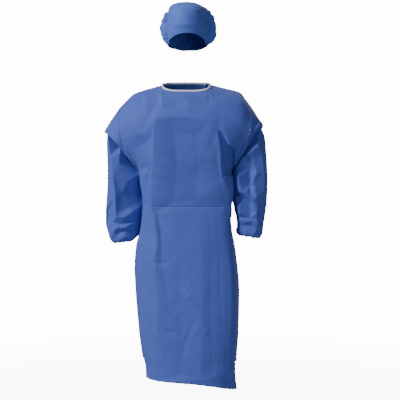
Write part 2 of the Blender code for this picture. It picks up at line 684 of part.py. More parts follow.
def build_knot(foot, down, out):
    """The knot that ties the belt: a small rounded block of folded cloth."""
    shape = bmesh.new()
    bmesh.ops.create_cube(shape, size=1)
    bmesh.ops.scale(shape, vec=(KNOT_WIDTH, KNOT_DEPTH, KNOT_HEIGHT), verts=shape.verts)
    bmesh.ops.bevel(shape, geom=shape.edges[:], offset=KNOT_BEVEL, segments=2, affect="EDGES")
    across = np.cross(down, out)
    points = [foot + across * v.co.x + out * (v.co.y + KNOT_DEPTH / 2) - down * v.co.z for v in shape.verts]
    faces = [[v.index for v in face.verts] for face in shape.faces]
    shape.free()
    make("belt_knot", points, faces, TRIM_BLUE)


def build_tab():
    """The loop strip on the right back panel, which the upper flap's hook strip holds."""
    places = [(k / GOWN_COLUMNS, TAB_ROW, "back") for k in TAB_COLUMNS]
    middles, downs, outs = lie_on_gown(places, WALL / 2 + TAB_STAND, over_flap=False)
    make("neck_tab", *strip(middles, downs, outs, [TAB_HEIGHT] * len(places), TAB_THICK), TRIM_BLUE)


# The cap ----------------------------------------------------------------------------------


def cap_shell():
    """The cap as one surface: a smooth front piece and a gathered piece."""
    shell = Shell()
    seam = math.radians(CAP_SEAM_DEG)
    rest = CAP_COLUMNS - CAP_FRONT_COLUMNS
    angles = [-seam + 2 * seam * c / CAP_FRONT_COLUMNS for c in range(CAP_FRONT_COLUMNS + 1)]
    angles += [seam + 2 * (math.pi - seam) * c / rest for c in range(1, rest)]
    angles.append(-seam)
    rings = [[cap_point(angle, row) for angle in angles] for row in range(len(CAP) - 1)]
    rings.append([np.array(CAP_APEX)] * len(angles))

    def tag(row, col):
        return "cap_front" if col < CAP_FRONT_COLUMNS and row < CAP_FRONT_ROWS else "cap_crown"

    shell.grid(tag, rings, True)
    hem = rings[0][CAP_FRONT_COLUMNS:]
    drawn = np.array([CAP_HEM_DRAWS_IN, CAP_HEM_DRAWS_IN, 1])
    casing = [point * drawn - np.array([0, 0, CAP_HEM_DEPTH]) for point in hem]
    shell.grid("cap_elastic", [casing, hem], True)
    return shell


def build_cap():
    """The cap's cut pieces."""
    shell = cap_shell()
    normals = shell.normals()
    make("cap_front", *shell.piece("cap_front", normals), GOWN_BLUE)
    make("cap_crown", *shell.piece("cap_crown", normals), GOWN_BLUE)
    make("cap_elastic", *shell.piece("cap_elastic", normals), TRIM_BLUE)


def main():
    for obj in list(bpy.data.objects):
        bpy.data.objects.remove(obj)
    build_gown()
    build_belt()
    build_tab()
    build_cap()


main()
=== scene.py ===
"""The isolation suit as worn: a long-sleeved gown that closes at the back, and its gathered cap.

Metres, +Z up. The front faces -Y and the wearer's left is +X. Places on the cloth are given as
(u, row): u runs from the wearer's right (0) to the left (1), and the rows run from the shoulder
line down. Creases and facets are given by lines in millimetres, as seen from the front.
"""

import logging
import math
from collections.abc import Callable, Sequence
from dataclasses import dataclass, field
from enum import Enum

import bmesh
import bpy
import numpy as np
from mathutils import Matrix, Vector
from mathutils.geometry import delaunay_2d_cdt


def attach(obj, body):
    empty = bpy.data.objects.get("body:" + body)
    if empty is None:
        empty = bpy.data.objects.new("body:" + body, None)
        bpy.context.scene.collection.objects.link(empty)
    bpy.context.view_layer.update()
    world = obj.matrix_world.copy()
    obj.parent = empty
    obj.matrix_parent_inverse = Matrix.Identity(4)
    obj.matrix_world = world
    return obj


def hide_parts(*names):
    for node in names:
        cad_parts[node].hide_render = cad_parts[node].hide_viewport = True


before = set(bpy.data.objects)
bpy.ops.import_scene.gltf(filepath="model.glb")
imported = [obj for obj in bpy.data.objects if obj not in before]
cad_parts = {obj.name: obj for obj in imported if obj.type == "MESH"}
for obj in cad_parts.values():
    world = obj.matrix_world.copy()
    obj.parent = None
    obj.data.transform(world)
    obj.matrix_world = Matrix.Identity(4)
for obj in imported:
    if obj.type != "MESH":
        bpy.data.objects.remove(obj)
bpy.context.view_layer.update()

LOG = logging.getLogger("isolation_suit")
Array = np.ndarray
Place = tuple[float, float]
Trio = tuple[float, float, float]
Socket = bpy.types.NodeSocket
Piece = bpy.types.Object

NO_LENGTHS = ("along", "square", "seam_deg", "pinch", "lean")  # columns without a unit of length
CLOTH = 0.0009  # thickness of the cloth as shown
STITCH_HALF = 0.00042  # half the thickness of a stitch


class Hand(Enum):
    """Which side of the wearer."""

    RIGHT = "right"
    LEFT = "left"

    @property
    def toward(self) -> int:
        """The sign of x on this side."""
        return -1 if self is Hand.RIGHT else 1


class Side(Enum):
    """Which face of the garment."""

    FRONT = "front"
    BACK = "back"


class Fold(Enum):
    """Which way a crease moves the cloth: its value is the sign of the push inward."""

    TROUGH = 1.0
    RIDGE = -1.0


class Held(Enum):
    """How a piece of cloth is held."""

    HUNG = "hung"
    GATHERED = "gathered"
    STRETCHED = "stretched"


# Numbers ----------


def smooth(x: Array | float) -> Array:
    """0 below 0, 1 above 1, and an even rise between."""
    x = np.clip(x, 0.0, 1.0)
    return x * x * (3 - 2 * x)


def unit(vectors: Array) -> Array:
    """Vectors along the last axis, brought to length 1."""
    length = np.linalg.norm(vectors, axis=-1, keepdims=True)
    return vectors / np.maximum(length, 1e-12)


def span(t: Array, start: Array, lead: Array, end: Array, trail: Array) -> Array:
    """A smooth run from a start (t is 0) to an end (t is 1), leaving and arriving by tangents.

    Args:
        t: places along the run.
        start: where it starts.
        lead: the tangent there.
        end: where it ends.
        trail: the tangent there.

    Returns:
        One value or point for each place.
    """
    rise = start * (1 + 2 * t) * (1 - t) ** 2 + lead * t * (1 - t) ** 2
    return rise + end * t**2 * (3 - 2 * t) + trail * t**2 * (t - 1)


def curve(knots: Sequence[float], values: Sequence[float], at: Array | float) -> Array:
    """A smooth curve through values at rising knots, which never overshoots them.

    Args:
        knots: where the values stand, rising.
        values: one value for each knot.
        at: where to read the curve.

    Returns:
        The curve's values, in the shape of at.
    """
    knots, values = np.asarray(knots, float), np.asarray(values, float)
    step = np.diff(knots)
    slope = np.diff(values) / step
    tangent = np.concatenate([slope[:1], np.zeros(len(knots) - 2), slope[-1:]])
    same = np.flatnonzero(slope[:-1] * slope[1:] > 0)
    before, after = 2 * step[same + 1] + step[same], step[same + 1] + 2 * step[same]
    tangent[same + 1] = (before + after) / (before / slope[same] + after / slope[same + 1])
    at = np.clip(at, knots[0], knots[-1])
    k = np.clip(np.searchsorted(knots, at, side="right") - 1, 0, len(step) - 1)
    lead, trail = tangent[k] * step[k], tangent[k + 1] * step[k]
    return span((at - knots[k]) / step[k], values[k], lead, values[k + 1], trail)


def sharp(near: Array) -> Array:
    """1 on a fold's line and 0 from 1 on, with straight flanks and a barely rounded top."""
    return np.clip(1.06 - np.sqrt(near**2 + 0.06**2), 0, 1)


def travelled(path: Array) -> Array:
    """How far along a path each of its points is."""
    return np.concatenate([[0], np.cumsum(np.linalg.norm(np.diff(path, axis=0), axis=1))])


def full_turn(count: int) -> Array:
    """Even angles all the way round."""
    return np.linspace(0, 2 * math.pi, count, endpoint=False)


def bend(first: Array, second: Array) -> Array:
    """The tangent between two steps, which is nothing where they turn back."""
    total = first + second
    return np.where(first * second > 0, 2 * first * second / np.where(total == 0, 1, total), 0.0)


def between(rows: Callable[[Array], Array], last: int, at: Array) -> Array:
    """Points between whole rows, on smooth curves through them.

    Args:
        rows: gives the points of whole rows.
        last: the last row's number.
        at: the rows to read, which may be fractions.

    Returns:
        One point for each value of at.
    """
    upper = np.clip(np.floor(at).astype(int), 0, last - 1)
    t = (at - upper)[..., None]
    before, here, below, after = (rows(np.clip(upper + k, 0, last)) for k in (-1, 0, 1, 2))
    step = below - here
    lead = np.where((upper == 0)[..., None], step, bend(here - before, step))
    trail = np.where((upper == last - 1)[..., None], step, bend(step, after - below))
    return span(t, here, lead, below, trail)


def squared(angle: Array, power: Array | float) -> tuple[Array, Array]:
    """Cosine and sine of an angle, on a circle that grows boxier as power passes 2.

    Args:
        angle: angles in radians.
        power: how boxy the circle is.

    Returns:
        The cosine and the sine.
    """
    c, s = np.cos(angle), np.sin(angle)
    reach = (np.abs(c) ** power + np.abs(s) ** power) ** (-1 / power)
    return c * reach, s * reach


class Table:
    """Rows of sizes under named columns, given in millimetres and kept in metres."""

    def __init__(self, names: Sequence[str], *rows: Sequence[float]) -> None:
        """Keeps the columns by name."""
        self.names = tuple(names)
        self.values = np.array(rows, float) / [1 if name in NO_LENGTHS else 1000 for name in names]

    def __len__(self) -> int:
        """The number of rows."""
        return len(self.values)

    def column(self, name: str) -> Array:
        """The values of one named column."""
        return self.values[:, self.names.index(name)]

    def rows(self, at: Array | int) -> dict[str, Array]:
        """Every column at whole rows."""
        return {name: self.column(name)[at] for name in self.names}


# Sizes of the garments, as in the part's source ----------

SHOULDER_COLUMNS, NECK_COLUMNS, YOKE_ROWS, LAP_COLUMNS = 6, 12, 10, 3
GOWN_COLUMNS = 2 * SHOULDER_COLUMNS + NECK_COLUMNS
SHOULDER_SHARE = SHOULDER_COLUMNS / GOWN_COLUMNS
LAP_SHARE = LAP_COLUMNS / GOWN_COLUMNS
BACK_HEM_ROW = 12

SHOULDERS = {
    Hand.RIGHT: Table(("x", "z"), (-101, -3), (-176, -24), (-212, -38), (-243, -66), (-270, -94)),
    Hand.LEFT: Table(("x", "z"), (96, -1), (160, -17), (212, -32), (236, -60), (268, -105)),
}

ARMHOLE_COLUMNS = ("along", "x", "z", "front", "back")
ARMHOLES = {
    Hand.RIGHT: Table(
        ARMHOLE_COLUMNS,
        (0, -270, -94, 0, 0),
        (0.2, -271, -118, -46, 46),
        (0.32, -268, -152, -70, 68),
        (0.47, -261, -207, -86, 83),
        (0.6, -241, -257, -88, 85),
        (0.71, -217, -298, -77, 75),
        (0.82, -203, -326, -54, 54),
        (1, -188, -348, -12, -12),
    ),
    Hand.LEFT: Table(
        ARMHOLE_COLUMNS,
        (0, 268, -105, 0, 0),
        (0.18, 263, -126, -50, 42),
        (0.32, 255, -159, -80, 68),
        (0.47, 246, -207, -93, 83),
        (0.6, 224, -250, -89, 85),
        (0.71, 204, -291, -68, 75),
        (0.82, 196, -323, -46, 54),
        (1, 180, -348, -12, -12),
    ),
}

CHEST = Table(
    ("along", "front", "back"),
    (0, -78, 62),
    (0.15, -104, 88),
    (0.35, -126, 107),
    (0.6, -136, 115),
    (0.8, -136, 115),
    (1, -131, 112),
)

BODY = Table(
    ("z", "slant", "right", "left", "front", "back", "widest", "square", "dent_right", "dent_left",
     "seam_deg"),
    (-348, 0, -195, 188, -131, 112, 12, 2.6, 7, 8, 9),
    (-400, 0, -185, 188, -126, 106, -20, 2.9, 18, 18, 15),
    (-445, 0, -177, 184, -121, 101, -30, 3.1, 18, 17, 18),
    (-487, 0, -175, 178, -116, 99, -30, 3.2, 17, 12, 20),
    (-530, 0, -179, 176, -119, 104, -20, 3.1, 14, 8, 21),
    (-580, 1, -189, 181, -123, 114, 0, 2.9, 12, 4, 23),
    (-640, 2, -206, 192, -129, 124, 12, 2.7, 4, 0, 24),
    (-720, 4, -210, 203, -137, 131, 12, 2.6, 0, 0, 25),
    (-810, 6, -206, 209, -144, 134, 12, 2.6, 0, 0, 25),
    (-900, 8, -199, 209, -150, 134, 12, 2.6, 0, 0, 25),
    (-980, 10, -192, 206, -154, 132, 12, 2.6, 0, 0, 25),
    (-1040, 12, -184, 202, -157, 131, 12, 2.6, 0, 0, 25),
    (-1080, 16, -178, 199, -159, 130, 12, 2.6, 0, 0, 25),
    (-1118, 32, -170, 200, -160, 130, 12, 2.6, 0, 0, 25),
    (-1156, 49, -169, 206, -161, 130, 12, 2.6, 0, 0, 25),
)
LAST_ROW = YOKE_ROWS + len(BODY) - 1

TUCK_RING = 3
RIM_MEETS = {Hand.RIGHT: 0.66, Hand.LEFT: 0.56}
RIM_FADE = 0.25
SLEEVE_COLUMNS = ("x_out", "z_out", "x_in", "z_in", "y", "front", "back", "pinch", "lean", "lift")
SLEEVES = {
    Hand.RIGHT: Table(
        SLEEVE_COLUMNS,
        (-305, -146, -201, -347, 0, 90, 86, 1.25, 1, 10),
        (-331, -191, -203, -352, 0, 90, 86, 1.5, 1, 20),
        (-317, -198, -199, -357, 0, 68, 70, 1.5, 1, 16),
        (-319, -236, -188, -384, 0, 70, 68, 1, 0.9, 10),
        (-315, -310, -180, -416, 0, 73, 69, 1, 0.65, 0),
        (-314, -380, -173, -450, -2, 73, 69, 1, 0.65, 0),
        (-318, -450, -172, -490, -6, 72, 68, 1, 0.7, 0),
        (-322, -515, -178, -532, -10, 70, 66, 1, 0.75, 0),
        (-322, -552, -185, -560, -14, 68, 64, 1, 0.8, 0),
        (-315, -585, -194, -586, -16, 63, 60, 1, 0.9, 0),
        (-304, -617, -208, -610, -18, 52, 50, 1, 1, 0),
        (-286, -632, -228, -626, -20, 37, 36, 1, 1, 0),
        (-281, -622, -235, -618, -20, 28, 28, 1, 1, 0),
    ),
    Hand.LEFT: Table(
        SLEEVE_COLUMNS,
        (288, -138, 190, -338, 0, 88, 86, 1.25, 1, 14),
        (305, -166, 190, -304, 0, 90, 86, 1.4, 1, 30),
        (300, -180, 193, -356, 0, 62, 66, 1.4, 1, 20),
        (311, -216, 188, -384, 0, 68, 66, 1, 0.9, 12),
        (317, -290, 187, -408, 0, 72, 68, 1, 0.85, 0),
        (321, -362, 184, -440, -2, 72, 68, 1, 0.85, 0),
        (320, -425, 186, -470, -6, 71, 67, 1, 0.85, 0),
        (316, -480, 190, -505, -10, 69, 65, 1, 0.9, 0),
        (309, -530, 197, -535, -12, 64, 61, 1, 0.95, 0),
        (304, -560, 199, -560, -15, 61, 58, 1, 1, 0),
        (301, -590, 194, -584, -16, 56, 54, 1, 1, 0),
        (287, -614, 208, -602, -18, 42, 41, 1, 1, 0),
        (271, -606, 222, -598, -18, 28, 28, 1, 1, 0),
    ),
}

CAP = Table(
    ("z_front", "z_side", "z_back", "right", "left", "front", "back", "puff_right", "puff_left"),
    (187, 163, 158, -77, 78, -94, 90, 3, 4),
    (193, 173, 166, -78, 80, -96, 108, 12, 24),
    (206, 192, 184, -80, 82, -99, 128, 22, 34),
    (226, 219, 209, -82, 84, -102, 140, 26, 35),
    (250, 248, 236, -83, 85, -102, 143, 22, 30),
    (274, 273, 266, -82, 84, -97, 136, 10, 22),
    (296, 295, 291, -76, 78, -84, 116, 1, 12),
    (313, 312, 311, -67, 60, -60, 84, 0, 2),
    (323, 323, 323, -43, 34, -30, 46, 0, 0),
)


# Creases ----------


def nearest(x: Array, z: Array, line: Sequence[Place]) -> tuple[Array, Array, Array]:
    """Where places lie beside a line of straight runs.

    Args:
        x: the places' x.
        z: the places' z.
        line: the corners of the line.

    Returns:
        How far each place is from the line, whether it is on the left of the way the line
        runs, and how far along the line its nearest point is, from 0 to 1.
    """
    corners = np.array(line, float)
    runs = np.diff(corners, axis=0)
    lengths = np.linalg.norm(runs, axis=1)
    total = lengths.sum()
    best = np.full(np.shape(x), 1e9)
    left = np.zeros(np.shape(x), bool)
    share = np.zeros(np.shape(x))
    passed = 0.0
    for (x0, z0), (dx, dz), length in zip(corners, runs, lengths):
        along = np.clip(((x - x0) * dx + (z - z0) * dz) / length**2, 0, 1)
        gap = np.hypot(x - x0 - along * dx, z - z0 - along * dz)
        closer = gap < best
        best = np.where(closer, gap, best)
        left = np.where(closer, (z - z0) * dx - (x - x0) * dz > 0, left)
        share = np.where(closer, (passed + along * length) / total, share)
        passed += length
    return best, left, share


@dataclass(frozen=True)
class Crease:
    """One fold pressed into the cloth, or standing out of it, along a line, in millimetres.

    It reaches right and left of the way the line runs. Crisp is 0 for a soft round fold and
    1 for a sharp one, and ends is the share of the line over which it dies away.
    """

    kind: Fold
    depth: float
    right: float
    left: float
    line: tuple[Place, ...]
    crisp: float = 0.6
    ends: float = 0.3

    def push(self, x: Array, z: Array) -> Array:
        """How far the crease pushes the cloth inward at places.

        Args:
            x: the places' x.
            z: the places' z.

        Returns:
            One push for each place, in metres.
        """
        gap, left, share = nearest(x, z, np.array(self.line) / 1000)
        near = 1000 * gap / np.where(left, self.left, self.right)
        soft = smooth(1 - near)
        fade = smooth(share / self.ends + 0.1) * smooth((1 - share) / self.ends + 0.1)
        shape = soft + (sharp(near) - soft) * self.crisp
        return self.kind.value * self.depth / 1000 * fade * shape


@dataclass(frozen=True)
class Ripple:
    """The faint unevenness of worn cloth: a few seeded waves that cross, in millimetres."""

    depth: float
    length: float
    seed: int
    waves: int = 7

    def push(self, x: Array, z: Array) -> Array:
        """How far the waves push the cloth inward at places.

        Args:
            x: the places' x.
            z: the places' z.

        Returns:
            One push for each place, in metres.
        """
        draw = np.random.default_rng(self.seed)
        total = np.zeros(np.shape(x))
        for _ in range(self.waves):
            turn, phase = draw.uniform(0, math.pi), draw.uniform(0, 2 * math.pi)
            pace = 2 * math.pi / (self.length / 1000 * draw.uniform(0.6, 1.6))
            total += np.sin(pace * (x * math.cos(turn) + z * math.sin(turn)) + phase)
        return self.depth / 1000 * total / self.waves


@dataclass(frozen=True)
class Facets:
    """Flat faces of stiff cloth, spanned between its fold lines.

    The lines' corners are (x, z, y) in millimetres: places as seen from the front, and how far
    back.
    """

    lines: tuple[tuple[Trio, ...], ...]
    soft: float = 0.0030  # how far round a fold its edge is rounded

    def triangles(self) -> Array:
        """The faces as triangles, whose sides follow the fold lines.

        Returns:
            The corners of each triangle, as (x, z, y) in metres.
        """
        corners: dict[Trio, int] = {}
        edges = []
        for line in self.lines:
            numbers = [corners.setdefault(corner, len(corners)) for corner in line]
            edges += zip(numbers, numbers[1:])
        spots = np.array(list(corners)) / 1000
        found = delaunay_2d_cdt([Vector(spot[:2]) for spot in spots], edges, [], 0, 1e-5)
        flat = np.array([tuple(spot) for spot in found[0]])
        back = [np.mean([spots[k, 2] for k in origin]) if origin else np.nan for origin in found[3]]
        corners_of = np.column_stack([flat, back])[np.array(found[2])]
        return corners_of[~np.isnan(corners_of).any((1, 2))]

    def flat_back(self, x: Array, z: Array, triangles: Array) -> Array:
        """How far back the flat faces lie at places.

        Args:
            x: the places' x.
            z: the places' z.
            triangles: the faces' corners.

        Returns:
            How far back, for each place.
        """
        best, back = np.full(np.shape(x), -1e9), np.zeros(np.shape(x))
        for (x0, z0, y0), (x1, z1, y1), (x2, z2, y2) in triangles:
            area = (x1 - x0) * (z2 - z0) - (x2 - x0) * (z1 - z0)
            if abs(area) < 1e-9:
                continue
            b = ((x - x0) * (z2 - z0) - (x2 - x0) * (z - z0)) / area
            c = ((x1 - x0) * (z - z0) - (x - x0) * (z1 - z0)) / area
            within = np.minimum(np.minimum(b, c), 1 - b - c)
            back = np.where(within > best, y0 + b * (y1 - y0) + c * (y2 - y0), back)
            best = np.maximum(best, within)
        return back

    def back(self, x: Array, z: Array) -> Array:
        """How far back the cloth lies at places, its folds a little rounded.

        Args:
            x: the places' x.
            z: the places' z.

        Returns:
            How far back, for each place.
        """
        triangles = self.triangles()
        total, count = self.flat_back(x, z, triangles), 1
        for reach in (0.5, 1.0):
            for turn in np.arange(6) * math.pi / 3 + reach:
                dx, dz = reach * self.soft * math.cos(turn), reach * self.soft * math.sin(turn)
                total += self.flat_back(x + dx, z + dz, triangles)
                count += 1
        return total / count


Relief = Sequence[Crease | Ripple]


def pushed(relief: Relief, x: Array, z: Array) -> Array:
    """How far all the creases of a face push it inward at places."""
    return sum((fold.push(x, z) for fold in relief), np.zeros(np.shape(x)))


# The gown's surface ----------


@dataclass
class GownForm:
    """The surface that every piece of the gown lies on, with its creases."""

    neck_half: float = 0.0985
    neck_centre: float = -0.0025
    neck_front: float = 0.078
    neck_front_drop: float = 0.037
    neck_back: float = 0.062
    neck_back_rise: float = 0.011
    neck_squareness: float = 3.6
    neck_side_z: float = -0.002
    dent_y: float = 0.005  # where the arms press the sides in
    dent_reach: float = 0.065
    slope_step: tuple[float, float] = (0.003, 0.06)  # how far apart slopes are taken, in u and rows
    lap_top: float = 0.0040
    lap_hem: float = 0.0100
    seam_fade: float = 0.035  # share of the width over which creases die away at a side seam
    top_fade: float = 0.8  # rows over which they die away at the top
    relief: dict[Side, Relief] = field(default_factory=dict)
    facets: dict[Side, Facets] = field(default_factory=dict)
    eased_columns: int = 180
    eased_rows: int = 9  # for each row
    easing_rounds: int = 120
    eased: dict[Side, Array] = field(default_factory=dict)

    def neckline(self, turn: Array, side: Side) -> Array:
        """Points of the neckline, turn running from the right shoulder (0) to the left (1).

        Args:
            turn: places on it.
            side: the front or the back half.

        Returns:
            One point for each place.
        """
        c, s = squared(math.pi * turn, self.neck_squareness)
        x = self.neck_centre - self.neck_half * c
        if side is Side.FRONT:
            y, z = -self.neck_front * s, self.neck_side_z - self.neck_front_drop * s**1.3
        else:
            y, z = self.neck_back * s, self.neck_side_z + self.neck_back_rise * s
        return np.stack([x, y, z], -1)

    def shoulder(self, hand: Hand, along: Array) -> Array:
        """Points of the shoulder line, from the neck (0) to the armhole (1).

        Args:
            hand: the side of the wearer.
            along: places on it.

        Returns:
            One point for each place.
        """
        line = SHOULDERS[hand]
        knots = np.linspace(0, 1, len(line))
        x, z = (curve(knots, line.column(name), along) for name in ("x", "z"))
        return np.stack([x, 0 * x, z], -1)

    def top_edge(self, u: Array, side: Side) -> Array:
        """Points of the upper edge: right shoulder line, neckline, left shoulder line.

        Args:
            u: places across.
            side: the face they are on.

        Returns:
            One point for each place.
        """
        share = SHOULDER_SHARE
        right = self.shoulder(Hand.RIGHT, np.clip(1 - u / share, 0, 1))
        left = self.shoulder(Hand.LEFT, np.clip((u - 1 + share) / share, 0, 1))
        neck = self.neckline(np.clip((u - share) / (1 - 2 * share), 0, 1), side)
        at_left = np.where((u > 1 - share)[..., None], left, neck)
        return np.where((u < share)[..., None], right, at_left)

    def armhole(self, hand: Hand, v: Array, side: Side) -> Array:
        """Points of an armhole, v running from the shoulder to the underarm.

        Args:
            hand: the side of the wearer.
            v: places on it.
            side: the face they are on.

        Returns:
            One point for each place.
        """
        table = ARMHOLES[hand]
        along = table.column("along")
        return np.stack([curve(along, table.column(n), v) for n in ("x", side.value, "z")], -1)

    def body_point(self, row: Array, u: Array, side: Side) -> Array:
        """Points of the gown below the underarm, at whole rows of BODY.

        Args:
            row: whole rows of BODY.
            u: places across.
            side: the face they are on.

        Returns:
            One point for each place.
        """
        at = BODY.rows(row)
        seam = np.radians(at["seam_deg"])
        sweep = (math.pi if side is Side.FRONT else -math.pi) - 2 * seam
        c, s = squared(math.pi + seam + sweep * u, at["square"])
        dent = np.where(c < 0, at["dent_right"], at["dent_left"])
        depth = np.where(s < 0, at["widest"] - at["front"], at["back"] - at["widest"])
        y = at["widest"] + depth * s
        pressed = np.maximum(0, 1 - ((y - self.dent_y) / self.dent_reach) ** 2) ** 2
        half = (at["left"] - at["right"]) / 2 - dent * pressed
        z = at["z"] - at["slant"] * ((c + 1) / 2) ** 3
        return np.stack([(at["left"] + at["right"]) / 2 + half * c, y, z], -1)

    def yoke_point(self, u: Array, v: Array, side: Side) -> Array:
        """Points of the gown above the underarm, spanned between its four edges.

        Args:
            u: places across.
            v: places down, from the shoulder line (0) to the underarm (1).
            side: the face they are on.

        Returns:
            One point for each place.
        """
        ones, first = np.ones(np.shape(u)), np.zeros(np.shape(u), int)
        top, foot = self.top_edge(u, side), self.body_point(first, u, side)
        right = self.armhole(Hand.RIGHT, v * ones, side)
        left = self.armhole(Hand.LEFT, v * ones, side)
        u3, v3 = (u * ones)[..., None], (v * ones)[..., None]
        point = (1 - v3) * top + v3 * foot + (1 - u3) * right + u3 * left
        for end in (0, 1):
            share = u3 if end else 1 - u3
            corner_top = self.top_edge(ones * end, side)
            corner_foot = self.body_point(first, ones * end, side)
            point = point - share * ((1 - v3) * corner_top + v3 * corner_foot)
        edge = (1 - u) * right[..., 1] + u * left[..., 1]
        depths = CHEST.column(side.value)
        middle = curve(CHEST.column("along"), depths, v)
        full_top = top[..., 1] / depths[0]
        foot_edge = self.body_point(np.array(0), np.array(0.0), side)[1]
        full_foot = (foot[..., 1] - foot_edge) / (depths[-1] - foot_edge)
        full = full_top + (full_foot - full_top) * smooth(v / 0.4)
        point[..., 1] = edge + (middle - edge) * full
        return point

    def whole_rows(self, u: Array, row: Array, side: Side) -> Array:
        """Points at whole rows, the yoke's first and then BODY's.

        Args:
            u: places across.
            row: whole rows.
            side: the face they are on.

        Returns:
            One point for each place.
        """
        yoke = self.yoke_point(u, np.minimum(row, YOKE_ROWS) / YOKE_ROWS, side)
        body = self.body_point(np.maximum(row - YOKE_ROWS, 0), u, side)
        return np.where((row <= YOKE_ROWS)[..., None], yoke, body)

    def easing(self, side: Side) -> Array:
        """How far the drape moves each place back or ahead, on an even net of places.

        Args:
            side: the face.

        Returns:
            One move for each place of the net.
        """
        if side not in self.eased:
            u = np.linspace(0, 1, self.eased_columns + 1)
            row = np.linspace(0, LAST_ROW, LAST_ROW * self.eased_rows + 1)
            across, down = np.meshgrid(u, row)
            taut = between(lambda r: self.whole_rows(across, r, side), LAST_ROW, down)
            slack = taut.copy()
            for _ in range(self.easing_rounds):
                inside = slack[:-2, 1:-1] + slack[2:, 1:-1] + slack[1:-1, :-2] + slack[1:-1, 2:]
                slack[1:-1, 1:-1] = 0.5 * slack[1:-1, 1:-1] + inside / 8
            self.eased[side] = slack - taut
            self.eased[side][..., 0] *= smooth((YOKE_ROWS - 1 - down) / 4)
        return self.eased[side]

    def smooth_point(self, u: Array, row: Array, side: Side) -> Array:
        """Points of the gown without its creases.

        Args:
            u: places across.
            row: places down.
            side: the face they are on.

        Returns:
            One point for each place.
        """
        point = between(lambda r: self.whole_rows(u, r, side), LAST_ROW, row)
        net = self.easing(side)
        i, j = row * self.eased_rows, u * self.eased_columns
        i0 = np.clip(np.floor(i).astype(int), 0, net.shape[0] - 2)
        j0 = np.clip(np.floor(j).astype(int), 0, net.shape[1] - 2)
        s, t = (i - i0)[..., None], (j - j0)[..., None]
        above = net[i0, j0] * (1 - t) + net[i0, j0 + 1] * t
        below = net[i0 + 1, j0] * (1 - t) + net[i0 + 1, j0 + 1] * t
        return point + above * (1 - s) + below * s

    def outward(self, u: Array, row: Array, side: Side) -> Array:
        """The outward direction of the uncreased gown.

        Args:
            u: places across.
            row: places down.
            side: the face they are on.

        Returns:
            One vector of length 1 for each place.
        """
        du, dr = self.slope_step
        down = self.smooth_point(u, np.minimum(row + dr, LAST_ROW), side)
        down = down - self.smooth_point(u, np.maximum(row - dr, 0), side)
        along = self.smooth_point(np.minimum(u + du, 1), row, side)
        along = along - self.smooth_point(np.maximum(u - du, 0), row, side)
        out = unit(np.cross(along, down))
        return out if side is Side.BACK else -out

    def cloth(self, u: Array, row: Array, side: Side, stand: Array | float = 0.0) -> Array:
        """Points of the worn gown, creases and all.

        Args:
            u: places across.
            row: places down.
            side: the face they are on.
            stand: how far off the cloth the points are.

        Returns:
            One point for each place.
        """
        u, row = np.broadcast_arrays(np.asarray(u, float), np.asarray(row, float))
        point = self.smooth_point(u, row, side)
        fade = smooth(np.minimum(u, 1 - u) / self.seam_fade) * smooth(row / self.top_fade)
        push = fade * pushed(self.relief.get(side, ()), point[..., 0], point[..., 2])
        out = self.outward(u, row, side)
        if side in self.facets:
            point[..., 1] += fade * self.facets[side].back(point[..., 0], point[..., 2])
        return point + out * (stand - push)[..., None]

    def lap_stand(self, row: Array) -> Array:
        """How far the upper flap of the back stands off the lower one."""
        return self.lap_top + (self.lap_hem - self.lap_top) * row / (YOKE_ROWS + BACK_HEM_ROW)

    def upper_flap(self, u: Array, row: Array, stand: Array | float = 0.0) -> Array:
        """Points of the left back panel, which stands off the right one where they overlap.

        Args:
            u: places across.
            row: places down.
            stand: how far off the cloth the points are.

        Returns:
            One point for each place.
        """
        u, row = np.broadcast_arrays(np.asarray(u, float), np.asarray(row, float))
        rise = self.lap_stand(row) * smooth((0.5 - u) / LAP_SHARE + 2)
        return self.cloth(u, row, Side.BACK, rise + stand)


# Meshes ----------


def measured(grid: Array, closed: bool) -> Array:
    """Places on the flat cloth, in metres, for the points of a grid.

    Args:
        grid: rows of points.
        closed: whether each row is a closed ring.

    Returns:
        For each point, and for the first one again on a ring, its way across and down.
    """
    ring = np.concatenate([grid, grid[:, :1]], 1) if closed else grid
    across = np.linalg.norm(np.diff(ring, axis=1), axis=2).mean(0)
    down = np.linalg.norm(np.diff(ring, axis=0), axis=2).mean(1)
    x = np.concatenate([[0], np.cumsum(across)])
    y = np.concatenate([[0], np.cumsum(down)])
    return np.stack(np.meshgrid(x, y), -1)


def mesh_piece(name: str, points: Array, faces: Array, flat: Array) -> Piece:
    """A smooth-shaded object.

    Args:
        name: the piece's name.
        points: its points.
        faces: the numbers of each face's points, all faces having as many.
        flat: a place on the flat cloth for each corner of each face.

    Returns:
        The new object.
    """
    mesh = bpy.data.meshes.new(name)
    mesh.from_pydata(points.reshape(-1, 3).tolist(), [], faces.tolist())
    layer = mesh.uv_layers.new(name="cloth")
    layer.data.foreach_set("uv", flat.reshape(-1).astype(np.float32))
    mesh.polygons.foreach_set("use_smooth", np.ones(len(faces), bool))
    shape = bmesh.new()
    shape.from_mesh(mesh)
    bmesh.ops.remove_doubles(shape, verts=shape.verts, dist=1e-6)
    shape.to_mesh(mesh)
    shape.free()
    mesh.update()
    obj = bpy.data.objects.new(name, mesh)
    bpy.context.scene.collection.objects.link(obj)
    return obj


